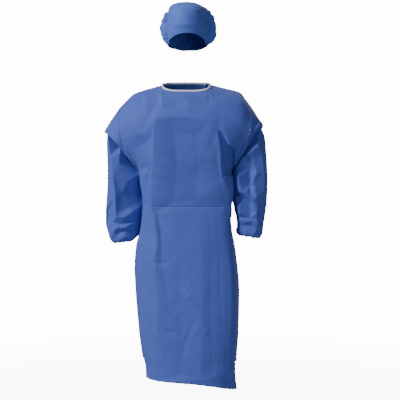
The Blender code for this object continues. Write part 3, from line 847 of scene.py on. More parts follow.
def net_piece(name: str, grid: Array, closed: bool, flipped: bool = False) -> Piece:
    """A surface on a grid of points.

    Args:
        name: the piece's name.
        grid: rows of points.
        closed: whether each row is a closed ring.
        flipped: whether its faces are turned over.

    Returns:
        The new object.
    """
    rows, cols = grid.shape[:2]
    index = np.arange(rows * cols).reshape(rows, cols)
    if closed:
        index = np.hstack([index, index[:, :1]])
    flat = measured(grid, closed)
    low, high = slice(None, -1), slice(1, None)
    corners = [(low, low), (high, low), (high, high), (low, high)]
    if flipped:
        corners = [corners[0], *corners[:0:-1]]
    faces = np.stack([index[c] for c in corners], -1).reshape(-1, 4)
    return mesh_piece(name, grid, faces, np.stack([flat[c] for c in corners], -2))


def grid_piece(name: str, grid: Array, closed: bool = False, wall: float = CLOTH) -> Piece:
    """A thin cloth on a grid of points.

    Args:
        name: the piece's name.
        grid: rows of points.
        closed: whether each row is a closed ring.
        wall: the cloth's thickness.

    Returns:
        The new object.
    """
    obj = net_piece(name, grid, closed)
    solid = obj.modifiers.new("cloth", "SOLIDIFY")
    solid.thickness, solid.offset = wall, 0.0
    return obj


def band_grid(
    middles: Array, across: Array, widths: Array, count: int, lift: Array | float = 0.0
) -> Array:
    """Rows of points across a flat band.

    Args:
        middles: the band's middle points.
        across: directions across it.
        widths: its width at each middle point.
        count: points across.
        lift: how each point is moved.

    Returns:
        One row for each middle point.
    """
    shares = np.linspace(-0.5, 0.5, count)
    return middles[:, None] + across[:, None] * (widths[:, None] * shares)[..., None] + lift


def tube_piece(name: str, path: Array, section: Array, ups: Array) -> Piece:
    """A closed bar with one cross-section all along a path.

    Args:
        name: the piece's name.
        path: the points it follows.
        section: points round the cross-section, sideways and up.
        ups: the direction that is up for the section, at each point of the path.

    Returns:
        The new object.
    """
    run = unit(np.gradient(path, axis=0))
    side = unit(np.cross(run, ups))
    up = np.cross(side, run)
    grid = path[:, None] + side[:, None] * section[:, :1] + up[:, None] * section[:, 1:]
    caps = [np.repeat(grid[end].mean(0)[None, None], grid.shape[1], 1) for end in (0, -1)]
    return net_piece(name, np.concatenate([caps[0], grid, caps[1]], 0), True, flipped=True)


def stitch_piece(name: str, path: Array, outs: Array, pitch: float = 0.0036) -> Piece:
    """A row of short stitches, sunk into the cloth at both ends.

    Args:
        name: the piece's name.
        path: the points it follows, on the cloth.
        outs: the direction away from the cloth at each of them.
        pitch: how far apart the stitches are.

    Returns:
        The new object.
    """
    run = travelled(path)
    middle = np.arange(pitch / 2, run[-1] - pitch / 2, pitch)
    stations = np.array([-0.34, -0.22, 0.22, 0.34]) * pitch  # along one stitch
    sizes = np.array([0.1, 1.0, 1.0, 0.1]) * STITCH_HALF  # half its thickness at each
    turn = full_turn(6)
    at = middle[:, None] + stations
    spine, out = (
        np.stack([np.interp(at, run, values[:, k]) for k in range(3)], -1) for values in (path, outs)
    )
    side = unit(np.cross(np.gradient(spine, axis=1), out))
    spine = spine + out * (sizes * 0.7 - STITCH_HALF * 0.3)[:, None]  # the ends are sunk
    ring = side[:, :, None] * np.cos(turn)[:, None] * 1.2 + out[:, :, None] * np.sin(turn)[:, None]
    points = spine[:, :, None] + ring * sizes[None, :, None, None]
    index = np.arange(points[..., 0].size).reshape(points.shape[:3])
    index = np.concatenate([index, index[:, :, :1]], 2)
    upper, lower = index[:, :-1], index[:, 1:]
    faces = np.stack([upper[..., :-1], upper[..., 1:], lower[..., 1:], lower[..., :-1]], -1)
    faces = faces.reshape(-1, 4)
    flat = np.tile(np.array([[0, 0], [0, 1], [1, 1], [1, 0]]) * STITCH_HALF, (len(faces), 1, 1))
    return mesh_piece(name, points, faces, flat)


# Finishes ----------


class Nodes:
    """A material's shader tree, built node by node."""

    def __init__(self, material: bpy.types.Material) -> None:
        """Starts from the material's own shader.

        Args:
            material: the material to dress.
        """
        material.use_nodes = True
        self.tree = material.node_tree
        self.shader = self.tree.nodes["Principled BSDF"]

    def add(self, kind: str, **settings: object) -> bpy.types.Node:
        """A new node with some of its settings.

        Args:
            kind: the node's type.
            settings: values of its named settings.

        Returns:
            The new node.
        """
        node = self.tree.nodes.new("ShaderNode" + kind)
        for name, value in settings.items():
            setattr(node, name, value)
        return node

    def link(self, source: Socket, target: Socket) -> None:
        """Joins an output to an input."""
        self.tree.links.new(source, target)

    def cloth_place(self) -> Socket:
        """Places on the flat cloth, in metres."""
        return self.add("TexCoord").outputs["UV"]

    def noise(self, place: Socket, scale: float, detail: float = 2.0) -> Socket:
        """Even noise from 0 to 1.

        Args:
            place: where on the cloth.
            scale: how fine it is, in waves to the metre.
            detail: how many finer layers it has.

        Returns:
            The noise.
        """
        node = self.add("TexNoise")
        node.inputs["Scale"].default_value = scale
        node.inputs["Detail"].default_value = detail
        self.link(place, node.inputs["Vector"])
        return node.outputs["Fac"]

    def stretched(self, place: Socket, scale: Trio, turn: float = 0.0) -> Socket:
        """Places stretched and turned on the cloth.

        Args:
            place: where on the cloth.
            scale: how much each direction is stretched.
            turn: how far they are turned, in radians.

        Returns:
            The new places.
        """
        node = self.add("Mapping")
        node.inputs["Scale"].default_value = scale
        node.inputs["Rotation"].default_value[2] = turn
        self.link(place, node.inputs["Vector"])
        return node.outputs["Vector"]

    def ranged(
        self, value: Socket, low: float, high: float, to_low: float, to_high: float
    ) -> Socket:
        """A value moved from one range to another, and held inside it.

        Args:
            value: the value.
            low: the low end of its own range.
            high: the high end.
            to_low: what the low end becomes.
            to_high: what the high end becomes.

        Returns:
            The moved value.
        """
        node = self.add("MapRange")
        ends = {"From Min": low, "From Max": high, "To Min": to_low, "To Max": to_high}
        for name, number in ends.items():
            node.inputs[name].default_value = number
        self.link(value, node.inputs["Value"])
        return node.outputs["Result"]

    def maths(self, how: str, first: Socket, second: Socket | float) -> Socket:
        """One sum, product or the like.

        Args:
            how: the name of the sum.
            first: the first value.
            second: the second value.

        Returns:
            The result.
        """
        node = self.add("Math", operation=how)
        self.link(first, node.inputs[0])
        if isinstance(second, (int, float)):
            node.inputs[1].default_value = second
        else:
            self.link(second, node.inputs[1])
        return node.outputs[0]

    def tinted(self, colour: Trio, shade: Socket) -> Socket:
        """A colour made lighter and darker by a factor.

        Args:
            colour: the colour.
            shade: the factor.

        Returns:
            The shaded colour.
        """
        node = self.add("VectorMath", operation="SCALE")
        node.inputs[0].default_value = colour
        self.link(shade, node.inputs["Scale"])
        return node.outputs["Vector"]

    def bumped(self, height: Socket, depth: float, strength: float = 1.0) -> None:
        """Raises the surface by a height, depth being what 1 stands for in metres.

        Args:
            height: how high each place stands.
            depth: what 1 stands for, in metres.
            strength: how much of it shows.
        """
        node = self.add("Bump")
        node.inputs["Distance"].default_value = depth
        node.inputs["Strength"].default_value = strength
        self.link(height, node.inputs["Height"])
        self.link(node.outputs["Normal"], self.shader.inputs["Normal"])


@dataclass(frozen=True)
class Finish:
    """What every finish has: a name, a colour and how matt it is."""

    name: str
    colour: Trio
    roughness: float = 0.8
    sheen: float = 0.0
    sheen_roughness: float = 0.5
    specular: float = 0.25

    def material(self) -> bpy.types.Material:
        """The finish as a material, made once and then shared.

        Returns:
            The material.
        """
        found = bpy.data.materials.get(self.name)
        if found:
            return found
        material = bpy.data.materials.new(self.name)
        nodes = Nodes(material)
        nodes.shader.inputs["Sheen Weight"].default_value = self.sheen
        nodes.shader.inputs["Sheen Roughness"].default_value = self.sheen_roughness
        nodes.shader.inputs["Specular IOR Level"].default_value = self.specular
        self.dress(nodes)
        return material

    def dress(self, nodes: Nodes) -> None:
        """Builds the surface of the finish."""
        raise NotImplementedError

    def coat(self, nodes: Nodes, shade: Socket) -> None:
        """Gives the shader the finish's colour, times a shade, and its roughness."""
        nodes.link(nodes.tinted(self.colour, shade), nodes.shader.inputs["Base Color"])
        nodes.shader.inputs["Roughness"].default_value = self.roughness


@dataclass(frozen=True)
class NonwovenFinish(Finish):
    """Spunbond nonwoven: matted fibres held by rows of small pressed points."""

    pitch: float = 0.0019  # how far apart the pressed points are
    point_turn: float = 0.785
    mottle: float = 0.10  # how uneven the dye is
    pressed_gloss: float = 0.22  # how much less matt the points are
    relief: float = 0.00016

    def dress(self, nodes: Nodes) -> None:
        """Pressed points, matted fibres and an uneven dye.

        Args:
            nodes: the material's shader tree.
        """
        place = nodes.cloth_place()
        points = nodes.add("TexVoronoi", feature="F1")
        points.inputs["Scale"].default_value = 1.0
        points.inputs["Randomness"].default_value = 0.12
        spaced = nodes.stretched(place, (1 / self.pitch, 1 / self.pitch, 1), self.point_turn)
        nodes.link(spaced, points.inputs["Vector"])
        pressed = nodes.ranged(points.outputs["Distance"], 0.16, 0.34, 1.0, 0.0)
        fibres = nodes.maths(
            "ADD",
            nodes.noise(nodes.stretched(place, (900, 4200, 1), 0.5), 1.0),
            nodes.noise(nodes.stretched(place, (4200, 900, 1), -0.4), 1.0),
        )
        cloudy = nodes.noise(place, 22.0, 4.0)
        shade = nodes.ranged(cloudy, 0.3, 0.7, 1 - self.mottle / 2, 1 + self.mottle / 2)
        shade = nodes.maths("MULTIPLY", shade, nodes.ranged(fibres, 0.7, 1.3, 0.93, 1.07))
        shade = nodes.maths("MULTIPLY", shade, nodes.ranged(pressed, 0, 1, 1.0, 0.84))
        nodes.link(nodes.tinted(self.colour, shade), nodes.shader.inputs["Base Color"])
        matt = nodes.ranged(pressed, 0, 1, self.roughness, self.roughness - self.pressed_gloss)
        nodes.link(matt, nodes.shader.inputs["Roughness"])
        height = nodes.maths("SUBTRACT", nodes.maths("MULTIPLY", fibres, 0.35), pressed)
        nodes.bumped(height, self.relief, 0.9)


@dataclass(frozen=True)
class KnitFinish(Finish):
    """Knitted tape: fine ribs that run across it, with a faint stitch."""

    pitch: float = 0.0013

    def dress(self, nodes: Nodes) -> None:
        """Ribs along the tape and the loops in them.

        Args:
            nodes: the material's shader tree.
        """
        place = nodes.cloth_place()
        ribs = nodes.add("TexWave", wave_type="BANDS", bands_direction="Y", wave_profile="SIN")
        ribs.inputs["Scale"].default_value = 1.0
        ribs.inputs["Distortion"].default_value = 0.6
        scale = 0.314 / self.pitch  # one period of the wave is 2 pi / 20 across
        nodes.link(nodes.stretched(place, (scale, scale, 1)), ribs.inputs["Vector"])
        loops = nodes.noise(nodes.stretched(place, (1400, 1400, 1)), 1.0)
        shade = nodes.ranged(ribs.outputs["Fac"], 0, 1, 0.86, 1.04)
        shade = nodes.maths("MULTIPLY", shade, nodes.ranged(loops, 0.35, 0.65, 0.94, 1.05))
        self.coat(nodes, shade)
        nodes.bumped(nodes.maths("ADD", ribs.outputs["Fac"], loops), 0.0003, 0.8)


@dataclass(frozen=True)
class ThreadFinish(Finish):
    """Spun sewing thread."""

    def dress(self, nodes: Nodes) -> None:
        """The twist of the thread.

        Args:
            nodes: the material's shader tree.
        """
        twist = nodes.noise(nodes.cloth_place(), 2600.0)
        shade = nodes.ranged(twist, 0.3, 0.7, 0.85, 1.1)
        self.coat(nodes, shade)
        nodes.bumped(twist, 0.0002, 0.6)


@dataclass(frozen=True)
class PileFinish(Finish):
    """The brushed pile of a loop strip."""

    def dress(self, nodes: Nodes) -> None:
        """Small curled loops all over.

        Args:
            nodes: the material's shader tree.
        """
        place = nodes.cloth_place()
        loops = nodes.add("TexVoronoi", feature="F1")
        loops.inputs["Scale"].default_value = 1400.0
        nodes.link(place, loops.inputs["Vector"])
        curls = nodes.noise(place, 3200.0, 3.0)
        height = nodes.maths("ADD", loops.outputs["Distance"], curls)
        shade = nodes.ranged(height, 0.4, 1.3, 0.75, 1.1)
        self.coat(nodes, shade)
        nodes.bumped(height, 0.0006, 0.9)


def finished(obj: Piece, finish: Finish, slot: str, *nodes: str) -> Piece:
    """Gives a piece its finish and its place in the part.

    Args:
        obj: the piece.
        finish: what it is made of.
        slot: the record's material slot; not used.
        nodes: the solids that it stands for.

    Returns:
        The same piece.
    """
    obj.data.materials.append(finish.material())
    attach(obj, "root")
    if nodes:
        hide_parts(*nodes)
    LOG.info("%s: %d points", obj.name, len(obj.data.vertices))
    return obj


GOWN_CLOTH = NonwovenFinish("gown_nonwoven", (0.078, 0.132, 0.540), 0.82, 0.08)
CAP_CLOTH = NonwovenFinish("cap_nonwoven", (0.092, 0.176, 0.650), 0.82, 0.08, pitch=0.0017)
TRIM_CLOTH = NonwovenFinish("trim_nonwoven", (0.070, 0.130, 0.480), 0.84, 0.08)
KNIT_TAPE = KnitFinish("knitted_tape", (0.87, 0.90, 1.0), 0.86, 0.15)
BLUE_THREAD = ThreadFinish("blue_thread", (0.055, 0.125, 0.400), 0.60)
PALE_THREAD = ThreadFinish("pale_thread", (0.600, 0.620, 0.800), 0.60)
LOOP_PILE = PileFinish("loop_pile", (0.500, 0.540, 0.700), 0.95)


# The gown's creases ----------

TROUGH, RIDGE = Fold.TROUGH, Fold.RIDGE

FRONT_FACETS = Facets((
    # where the cloth keeps its plain form: outside it, along the shoulders and the armholes
    ((-360, 60, 0), (360, 60, 0)),
    ((-360, -1260, 0), (360, -1260, 0)),
    ((-360, -400, 0), (-360, -800, 0)),
    ((360, -400, 0), (360, -800, 0)),
    ((-255, -80, 0), (-190, -20, 0), (-104, 0, 0)),
    ((-85, -34, 0), (80, -34, 0)),
    ((100, 0, 0), (190, -20, 0), (252, -80, 0)),
    ((-266, -150, 0), (-258, -220, 0), (-222, -292, 0), (-200, -340, 0)),
    ((254, -150, 0), (240, -222, 0), (226, -240, 0)),
    # the long fold down the wearer's right
    ((-128, -166, -12), (-130, -307, -14), (-139, -470, -13), (-136, -498, -12), (-123, -530, -12),
        (-116, -590, -13), (-113, -631, -12), (-122, -688, -14), (-116, -740, -13), (-111, -860, -11),
        (-108, -980, -10), (-110, -1156, -6)),
    ((-114, -508, -4), (-103, -560, -3), (-96, -620, -3), (-96, -690, -3), (-88, -730, -4), (-68, -860, -1),
        (-60, -1000, -3)),
    ((-48, -205, 4), (-36, -330, 6), (-50, -470, 3)),
    ((36, -215, 5), (44, -330, 7), (34, -470, 4)),
    # the upper chest breaks to the flat chest along an arc
    ((-128, -166, -12), (-116, -150, -12), (-62, -142, -11), (12, -144, -10), (85, -160, -8),
        (120, -188, -8)),
    ((-96, -108, -2), (-40, -100, -1), (4, -88, -7), (52, -106, -5), (100, -112, -1)),
    ((-48, -205, 4), (36, -215, 5), (80, -222, 0)),
    # the flat chest's left edge, and the pocket outside it
    ((120, -188, -8), (128, -251, -9), (134, -330, -12), (141, -388, -11), (148, -440, -5),
        (152, -482, -3)),
    ((100, -240, 0), (118, -310, -2), (127, -350, -6), (131, -400, -6), (124, -482, -1)),
    ((126, -204, 0), (138, -209, 1), (146, -224, 6), (153, -242, 11), (163, -259, 18), (178, -266, 28)),
    ((178, -266, 28), (182, -310, 34), (182, -362, 34), (160, -364, 14), (144, -362, 0)),
    ((192, -264, 0), (189, -310, 4), (189, -362, 4), (190, -400, -4)),
    ((145, -369, -11), (160, -370, -8), (182, -369, -4), (190, -400, -4)),
    ((160, -370, -8), (166, -420, -12), (164, -482, -8)),
    ((182, -369, -4), (180, -420, -16), (172, -470, -14)),
    # the cloth that falls from the left shoulder, down to its edge over the pocket
    ((120, -188, -8), (139, -200, -12), (149, -215, -12), (157, -234, -12), (166, -250, -12),
        (182, -258, -10), (199, -252, -6), (222, -242, -1)),
    ((142, -130, -2), (185, -172, -4), (215, -210, -2)),
    # drags from the chest towards the right underarm
    ((-131, -196, -9), (-168, -206, -6), (-208, -220, -1)),
    ((-130, -222, -6), (-160, -242, 3), (-196, -262, 4)),
    ((-130, -307, -14), (-162, -304, -8), (-194, -316, -2)),
    # the dull face beside the arm, and the lit wedge between it and the fold
    ((-130, -307, -14), (-146, -345, -13), (-152, -385, -10), (-156, -430, -8), (-158, -470, -6)),
    ((-178, -328, -12), (-180, -390, -20), (-180, -440, -14), (-178, -474, -6)),
    # the right shoulder: two short troughs with a stiff face beside each
    ((-178, -40, 5), (-173, -100, 8), (-146, -138, 1)),
    ((-164, -50, -4), (-158, -108, -5)),
    ((-119, -38, 5), (-111, -82, 9), (-126, -112, 2)),
    ((-102, -42, -4), (-96, -88, -6)),
    # stiff faces below the neck
    ((-19, -54, -4), (4, -88, -7)),
    ((52, -106, -5), (78, -76, 5)),
    ((36, -50, 2), (60, -74, 4), (78, -76, 5)),
    # the sides below the underarms
    ((-170, -505, -3), (-172, -570, -3), (-186, -700, -4), (-184, -900, -4), (-168, -1120, -2)),
    ((152, -482, -3), (158, -560, -11), (172, -700, -22), (180, -860, -26), (180, -1000, -24),
        (174, -1130, -15)),
    # the skirt's wide faces
    ((40, -500, 0), (60, -640, -4), (62, -860, -7), (56, -1140, -6)),
    ((92, -520, 1), (97, -700, -3), (94, -860, -4), (98, -1130, -3)),
    ((120, -540, -1), (128, -700, -6), (131, -860, -8), (128, -1130, -6)),
    ((140, -540, -5), (150, -700, -13), (158, -860, -16), (156, -1130, -11)),
    ((-52, -508, -4), (-44, -600, -4), (-36, -690, -2), (-30, -740, 0), (-22, -790, 0), (-34, -860, 2),
        (-16, -1010, 2), (-30, -1130, 1)),
), soft=0.0035)

FRONT_RELIEF: Relief = (
    # the packing fold across the waist
    Crease(TROUGH, 2.6, 30, 34, ((-136, -487), (-60, -488), (50, -488), (148, -489)), 1.0, 0.08),
    Crease(TROUGH, 2.1, 3.4, 3, ((-138, -487.5), (-60, -487.8), (50, -487.8), (150, -488)), 0.6, 0.08),
    # small creases
    Crease(TROUGH, 1.4, 12, 14, ((87, -45), (91, -80)), crisp=0.5),
    Crease(TROUGH, 1.9, 13, 18, ((36, -910), (-4, -1004), (-14, -1070)), crisp=0.8),
    Crease(TROUGH, 3, 14, 16, ((-124, -985), (-110, -1060), (-94, -1135)), crisp=0.8),
    Crease(RIDGE, 1.4, 14, 14, ((38, -944), (43, -970)), crisp=0.4),
    Crease(RIDGE, 1.4, 14, 14, ((72, -950), (78, -976)), crisp=0.4),
    Crease(TROUGH, 2.5, 12, 12, ((-136, -700), (-108, -705), (-66, -703)), 1.0, 0.3),
    Crease(TROUGH, 2, 10, 12, ((-88, -960), (-60, -966), (-40, -962)), 1.0, 0.3),
    Crease(RIDGE, 1.6, 18, 20, ((3, -776), (14, -800)), crisp=0.4),
    Crease(RIDGE, 1.6, 20, 18, ((-2, -820), (16, -840)), crisp=0.4),
    Crease(RIDGE, 1.6, 18, 16, ((-42, -882), (-20, -908)), crisp=0.4),
    Crease(RIDGE, 1.4, 18, 20, ((-3, -714), (8, -744)), crisp=0.4),
    Crease(RIDGE, 2, 16, 16, ((-146, -990), (-122, -970), (-112, -1010)), crisp=0.7),
    Crease(TROUGH, 8, 24, 12, ((-172, -1050), (-155, -1076), (-157, -1160)), crisp=0.7),
    Ripple(1.4, 150, 11),
    Ripple(0.4, 45, 12),
)

BACK_RELIEF: Relief = (
    # drawn down from the shoulders, and blousing over the belt
    Crease(TROUGH, 8, 22, 18, ((-165, -60), (-150, -180), (-160, -300)), crisp=0.5),
    Crease(TROUGH, 8, 20, 24, ((160, -70), (150, -200), (165, -310)), crisp=0.5),
    Crease(RIDGE, 6, 30, 30, ((-110, -80), (-95, -250), (-105, -440)), crisp=0.6),
    Crease(RIDGE, 6, 30, 30, ((112, -90), (95, -240), (104, -430)), crisp=0.6),
    Crease(TROUGH, 6, 20, 26, ((-190, -330), (-120, -400), (-50, -440)), crisp=0.6),
    Crease(TROUGH, 6, 26, 20, ((185, -335), (120, -398), (60, -446)), crisp=0.6),
    Crease(RIDGE, 8, 34, 34, ((-165, -468), (-20, -458), (160, -470)), crisp=0.2),
    Crease(TROUGH, 7, 22, 26, ((-168, -510), (0, -508), (165, -510)), crisp=0.5),
    # folds that the belt sends down the skirt
    Crease(RIDGE, 10, 30, 26, ((-115, -540), (-125, -760), (-118, -1060)), crisp=0.7),
    Crease(TROUGH, 9, 26, 26, ((-68, -535), (-78, -700), (-85, -930)), crisp=0.6),
    Crease(RIDGE, 9, 28, 24, ((-28, -545), (-34, -800), (-40, -1080)), crisp=0.6),
    Crease(TROUGH, 9, 24, 28, ((34, -540), (42, -760), (40, -960)), crisp=0.6),
    Crease(RIDGE, 10, 30, 30, ((82, -540), (92, -780), (100, -1080)), crisp=0.7),
    Crease(TROUGH, 8, 26, 22, ((126, -545), (140, -740), (148, -960)), crisp=0.6),
    Crease(TROUGH, 7, 22, 22, ((-165, -600), (-172, -780)), crisp=0.5),
    Crease(TROUGH, 3, 18, 24, ((-185, -708), (0, -704), (185, -712)), 1.0, 0.10),
    Crease(TROUGH, 3, 18, 24, ((-180, -968), (0, -964), (190, -974)), 1.0, 0.10),
    Ripple(1.6, 140, 21),
    Ripple(0.4, 45, 22),
)

SLEEVE_FACETS = {
    Hand.RIGHT: Facets((
        # past the outer edge, and past the inner one
        ((-350, -130, 0), (-342, -230, -4), (-340, -420, -6), (-344, -520, -10), (-330, -610, -12),
            (-300, -680, -10)),
        ((-150, -300, -2), (-152, -400, -4), (-150, -470, -6), (-156, -560, -10), (-180, -680, -10)),
        # the long ridge down the arm
        ((-318, -190, -34), (-308, -240, -56), (-300, -290, -68), (-289, -363, -80), (-279, -448, -86),
            (-276, -528, -80)),
        # the cloth that the shoulder covers
        ((-292, -204, -26), (-264, -250, -32), (-228, -291, -28), (-196, -335, -16)),
        # from the shoulder to the ridge
        ((-261, -279, -68), (-264, -318, -70), (-289, -363, -80)),
        # the arc across the upper arm
        ((-186, -362, -32), (-206, -372, -54), (-233, -390, -66), (-254, -436, -69), (-270, -500, -74),
            (-276, -528, -80)),
        # the pleat that runs from the elbow to the side
        ((-276, -528, -80), (-222, -488, -54), (-172, -452, -14)),
        ((-276, -528, -80), (-243, -530, -77), (-214, -512, -66), (-176, -484, -26)),
        # two troughs above the wrist
        ((-320, -528, -18), (-292, -548, -63), (-262, -557, -66), (-240, -556, -64), (-214, -540, -50),
            (-184, -520, -24)),
        ((-310, -570, -40), (-286, -584, -72), (-268, -568, -78), (-240, -570, -80), (-216, -556, -62),
            (-190, -540, -30)),
        ((-276, -606, -60), (-266, -590, -62), (-238, -582, -66), (-212, -572, -50)),
        ((-300, -622, -44), (-276, -626, -58), (-248, -612, -70), (-214, -600, -56), (-196, -590, -30)),
    )),
    Hand.LEFT: Facets((
        # past the outer edge, and past the inner one
        ((330, -120, 0), (336, -250, -4), (342, -350, -6), (340, -450, -10), (328, -560, -12),
            (315, -680, -10)),
        ((160, -280, -2), (160, -360, -4), (162, -450, -6), (168, -560, -10), (190, -680, -10)),
        # the cloth that the shoulder covers, and the fold below it
        ((296, -160, -30), (266, -218, -46), (232, -260, -50), (203, -294, -40)),
        ((273, -209, -54), (281, -227, -64), (279, -248, -76), (257, -267, -80), (236, -283, -78),
            (214, -306, -66), (190, -322, -40)),
        # the lit face below that fold
        ((281, -227, -64), (297, -280, -60), (305, -345, -58), (307, -420, -59), (302, -500, -60),
            (292, -560, -56)),
        ((236, -283, -78), (255, -292, -73), (265, -328, -69), (271, -347, -70), (301, -355, -59)),
        # the inner side of the upper arm, turned from the light
        ((196, -336, -58), (200, -375, -81), (204, -408, -84), (210, -428, -87)),
        ((222, -306, -64), (244, -312, -58), (250, -340, -54), (248, -372, -54), (250, -400, -55),
            (250, -436, -70)),
        ((250, -366, -66), (271, -360, -74), (301, -355, -59)),
        ((250, -366, -66), (258, -397, -77), (264, -413, -78), (272, -450, -79), (280, -500, -78)),
        # the fold across the elbow, and the hollow below it
        ((185, -425, -46), (210, -428, -87), (231, -440, -88), (255, -459, -87), (264, -482, -84),
            (274, -512, -78)),
        ((188, -440, -30), (211, -444, -60), (230, -458, -61), (246, -478, -60), (254, -508, -62)),
        ((192, -456, -54), (200, -490, -79), (206, -514, -81)),
        # the fold above the wrist
        ((196, -522, -52), (210, -529, -68), (247, -531, -67), (276, -539, -68)),
        ((196, -530, -56), (210, -539, -74), (232, -546, -77), (256, -543, -74), (278, -553, -73),
            (293, -572, -60)),
        ((198, -552, -48), (214, -560, -64), (246, -562, -66), (272, -572, -66), (288, -588, -56)),
        ((192, -590, -46), (210, -598, -66), (238, -590, -70), (262, -602, -74), (292, -600, -50)),
    )),
}

SLEEVE_RELIEF: dict[tuple[Hand, Side], Relief] = {
    (Hand.RIGHT, Side.FRONT): (Ripple(0.8, 70, 31),),
    (Hand.RIGHT, Side.BACK): (
        Crease(RIDGE, 8, 22, 18, ((-282, -230), (-262, -330), (-268, -450), (-262, -560)), crisp=1.0),
        Crease(TROUGH, 10, 16, 12, ((-196, -372), (-232, -396), (-286, -402)), crisp=1.0),
        Crease(RIDGE, 6, 14, 18, ((-200, -410), (-238, -428), (-300, -424)), crisp=1.0),
        Crease(TROUGH, 10, 14, 16, ((-198, -470), (-236, -470), (-300, -448)), crisp=1.0),
        Crease(TROUGH, 8, 14, 12, ((-204, -512), (-250, -526), (-310, -512)), crisp=1.0),
        Crease(TROUGH, 6, 12, 12, ((-300, -570), (-262, -582), (-222, -566)), crisp=1.0),
        Crease(TROUGH, 6, 20, 16, ((-226, -250), (-236, -300), (-222, -350)), crisp=0.8),
        Ripple(0.8, 70, 32),
    ),
    (Hand.LEFT, Side.FRONT): (Ripple(0.8, 70, 33),),
    (Hand.LEFT, Side.BACK): (
        Crease(RIDGE, 8, 18, 24, ((270, -220), (256, -330), (272, -440), (262, -550)), crisp=1.0),
        Crease(TROUGH, 10, 14, 16, ((194, -352), (236, -384), (290, -380)), crisp=1.0),
        Crease(RIDGE, 6, 16, 14, ((204, -402), (244, -414), (300, -404)), crisp=1.0),
        Crease(TROUGH, 10, 16, 12, ((196, -446), (236, -458), (300, -440)), crisp=1.0),
        Crease(TROUGH, 8, 12, 16, ((200, -498), (244, -508), (304, -486)), crisp=1.0),
        Crease(TROUGH, 6, 12, 12, ((210, -552), (256, -566), (296, -548)), crisp=1.0),
        Crease(TROUGH, 6, 16, 20, ((214, -240), (226, -290), (212, -330)), crisp=0.8),
        Ripple(0.8, 70, 34),
    ),
}


# The gown's pieces ----------


@dataclass
class Panels:
    """The front panel and the two back panels, cut to the same side seams."""

    form: GownForm
    columns: int = 190
    row_step: float = 0.0048
    waist_fold: float = 0.4878  # how far down it is
    fold_half: float = 0.005  # half the height over which the rows stand closer there
    fold_rows: int = 9
    front_cut: Trio = (0.66, 1.21, 0.575)  # width, length, area
    right_cut: Trio = (0.48, 1.12, 0.446)
    left_cut: Trio = (0.48, 1.12, 0.455)

    def places(self, low: float, high: float, last: int) -> tuple[Array, Array]:
        """Even places from u low to u high, from the shoulder line to a row.

        Args:
            low: the lowest u.
            high: the highest u.
            last: the row to end at.

        Returns:
            The u and the row of each place of a grid.
        """
        u = np.linspace(low, high, round(self.columns * (high - low)) + 1)
        yoke = np.linspace(0, -BODY.column("z")[0], YOKE_ROWS + 1)
        drops = np.concatenate([yoke, -BODY.column("z")[1:]])
        even = np.arange(0, drops[last] - self.row_step / 2, self.row_step)
        fine = self.waist_fold + np.linspace(-self.fold_half, self.fold_half, self.fold_rows)
        even = np.sort(np.concatenate([even[(even < fine[0]) | (even > fine[-1])], fine]))
        row = np.append(np.interp(even, drops, np.arange(len(drops))), last)
        return np.meshgrid(u, row)

    def panel(self, name: str, grid: Array, node: str) -> None:
        """One panel of the gown.

        Args:
            name: its name.
            grid: its rows of points.
            node: the solid that it stands for.
        """
        cloth = finished(grid_piece(name, grid), GOWN_CLOTH, "gown_cloth", node)

    def build(self) -> None:
        """Makes the three panels."""
        form, last = self.form, YOKE_ROWS + BACK_HEM_ROW
        grid = form.cloth(*self.places(0, 1, LAST_ROW), Side.FRONT)
        self.panel("front_cloth", grid, "front_panel")
        grid = form.cloth(*self.places(0, 0.5 + LAP_SHARE, last), Side.BACK)
        self.panel("back_cloth_right", grid, "back_panel_right")
        grid = form.upper_flap(*self.places(0.5 - LAP_SHARE, 1, last))
        self.panel("back_cloth_left", grid, "back_panel_left")


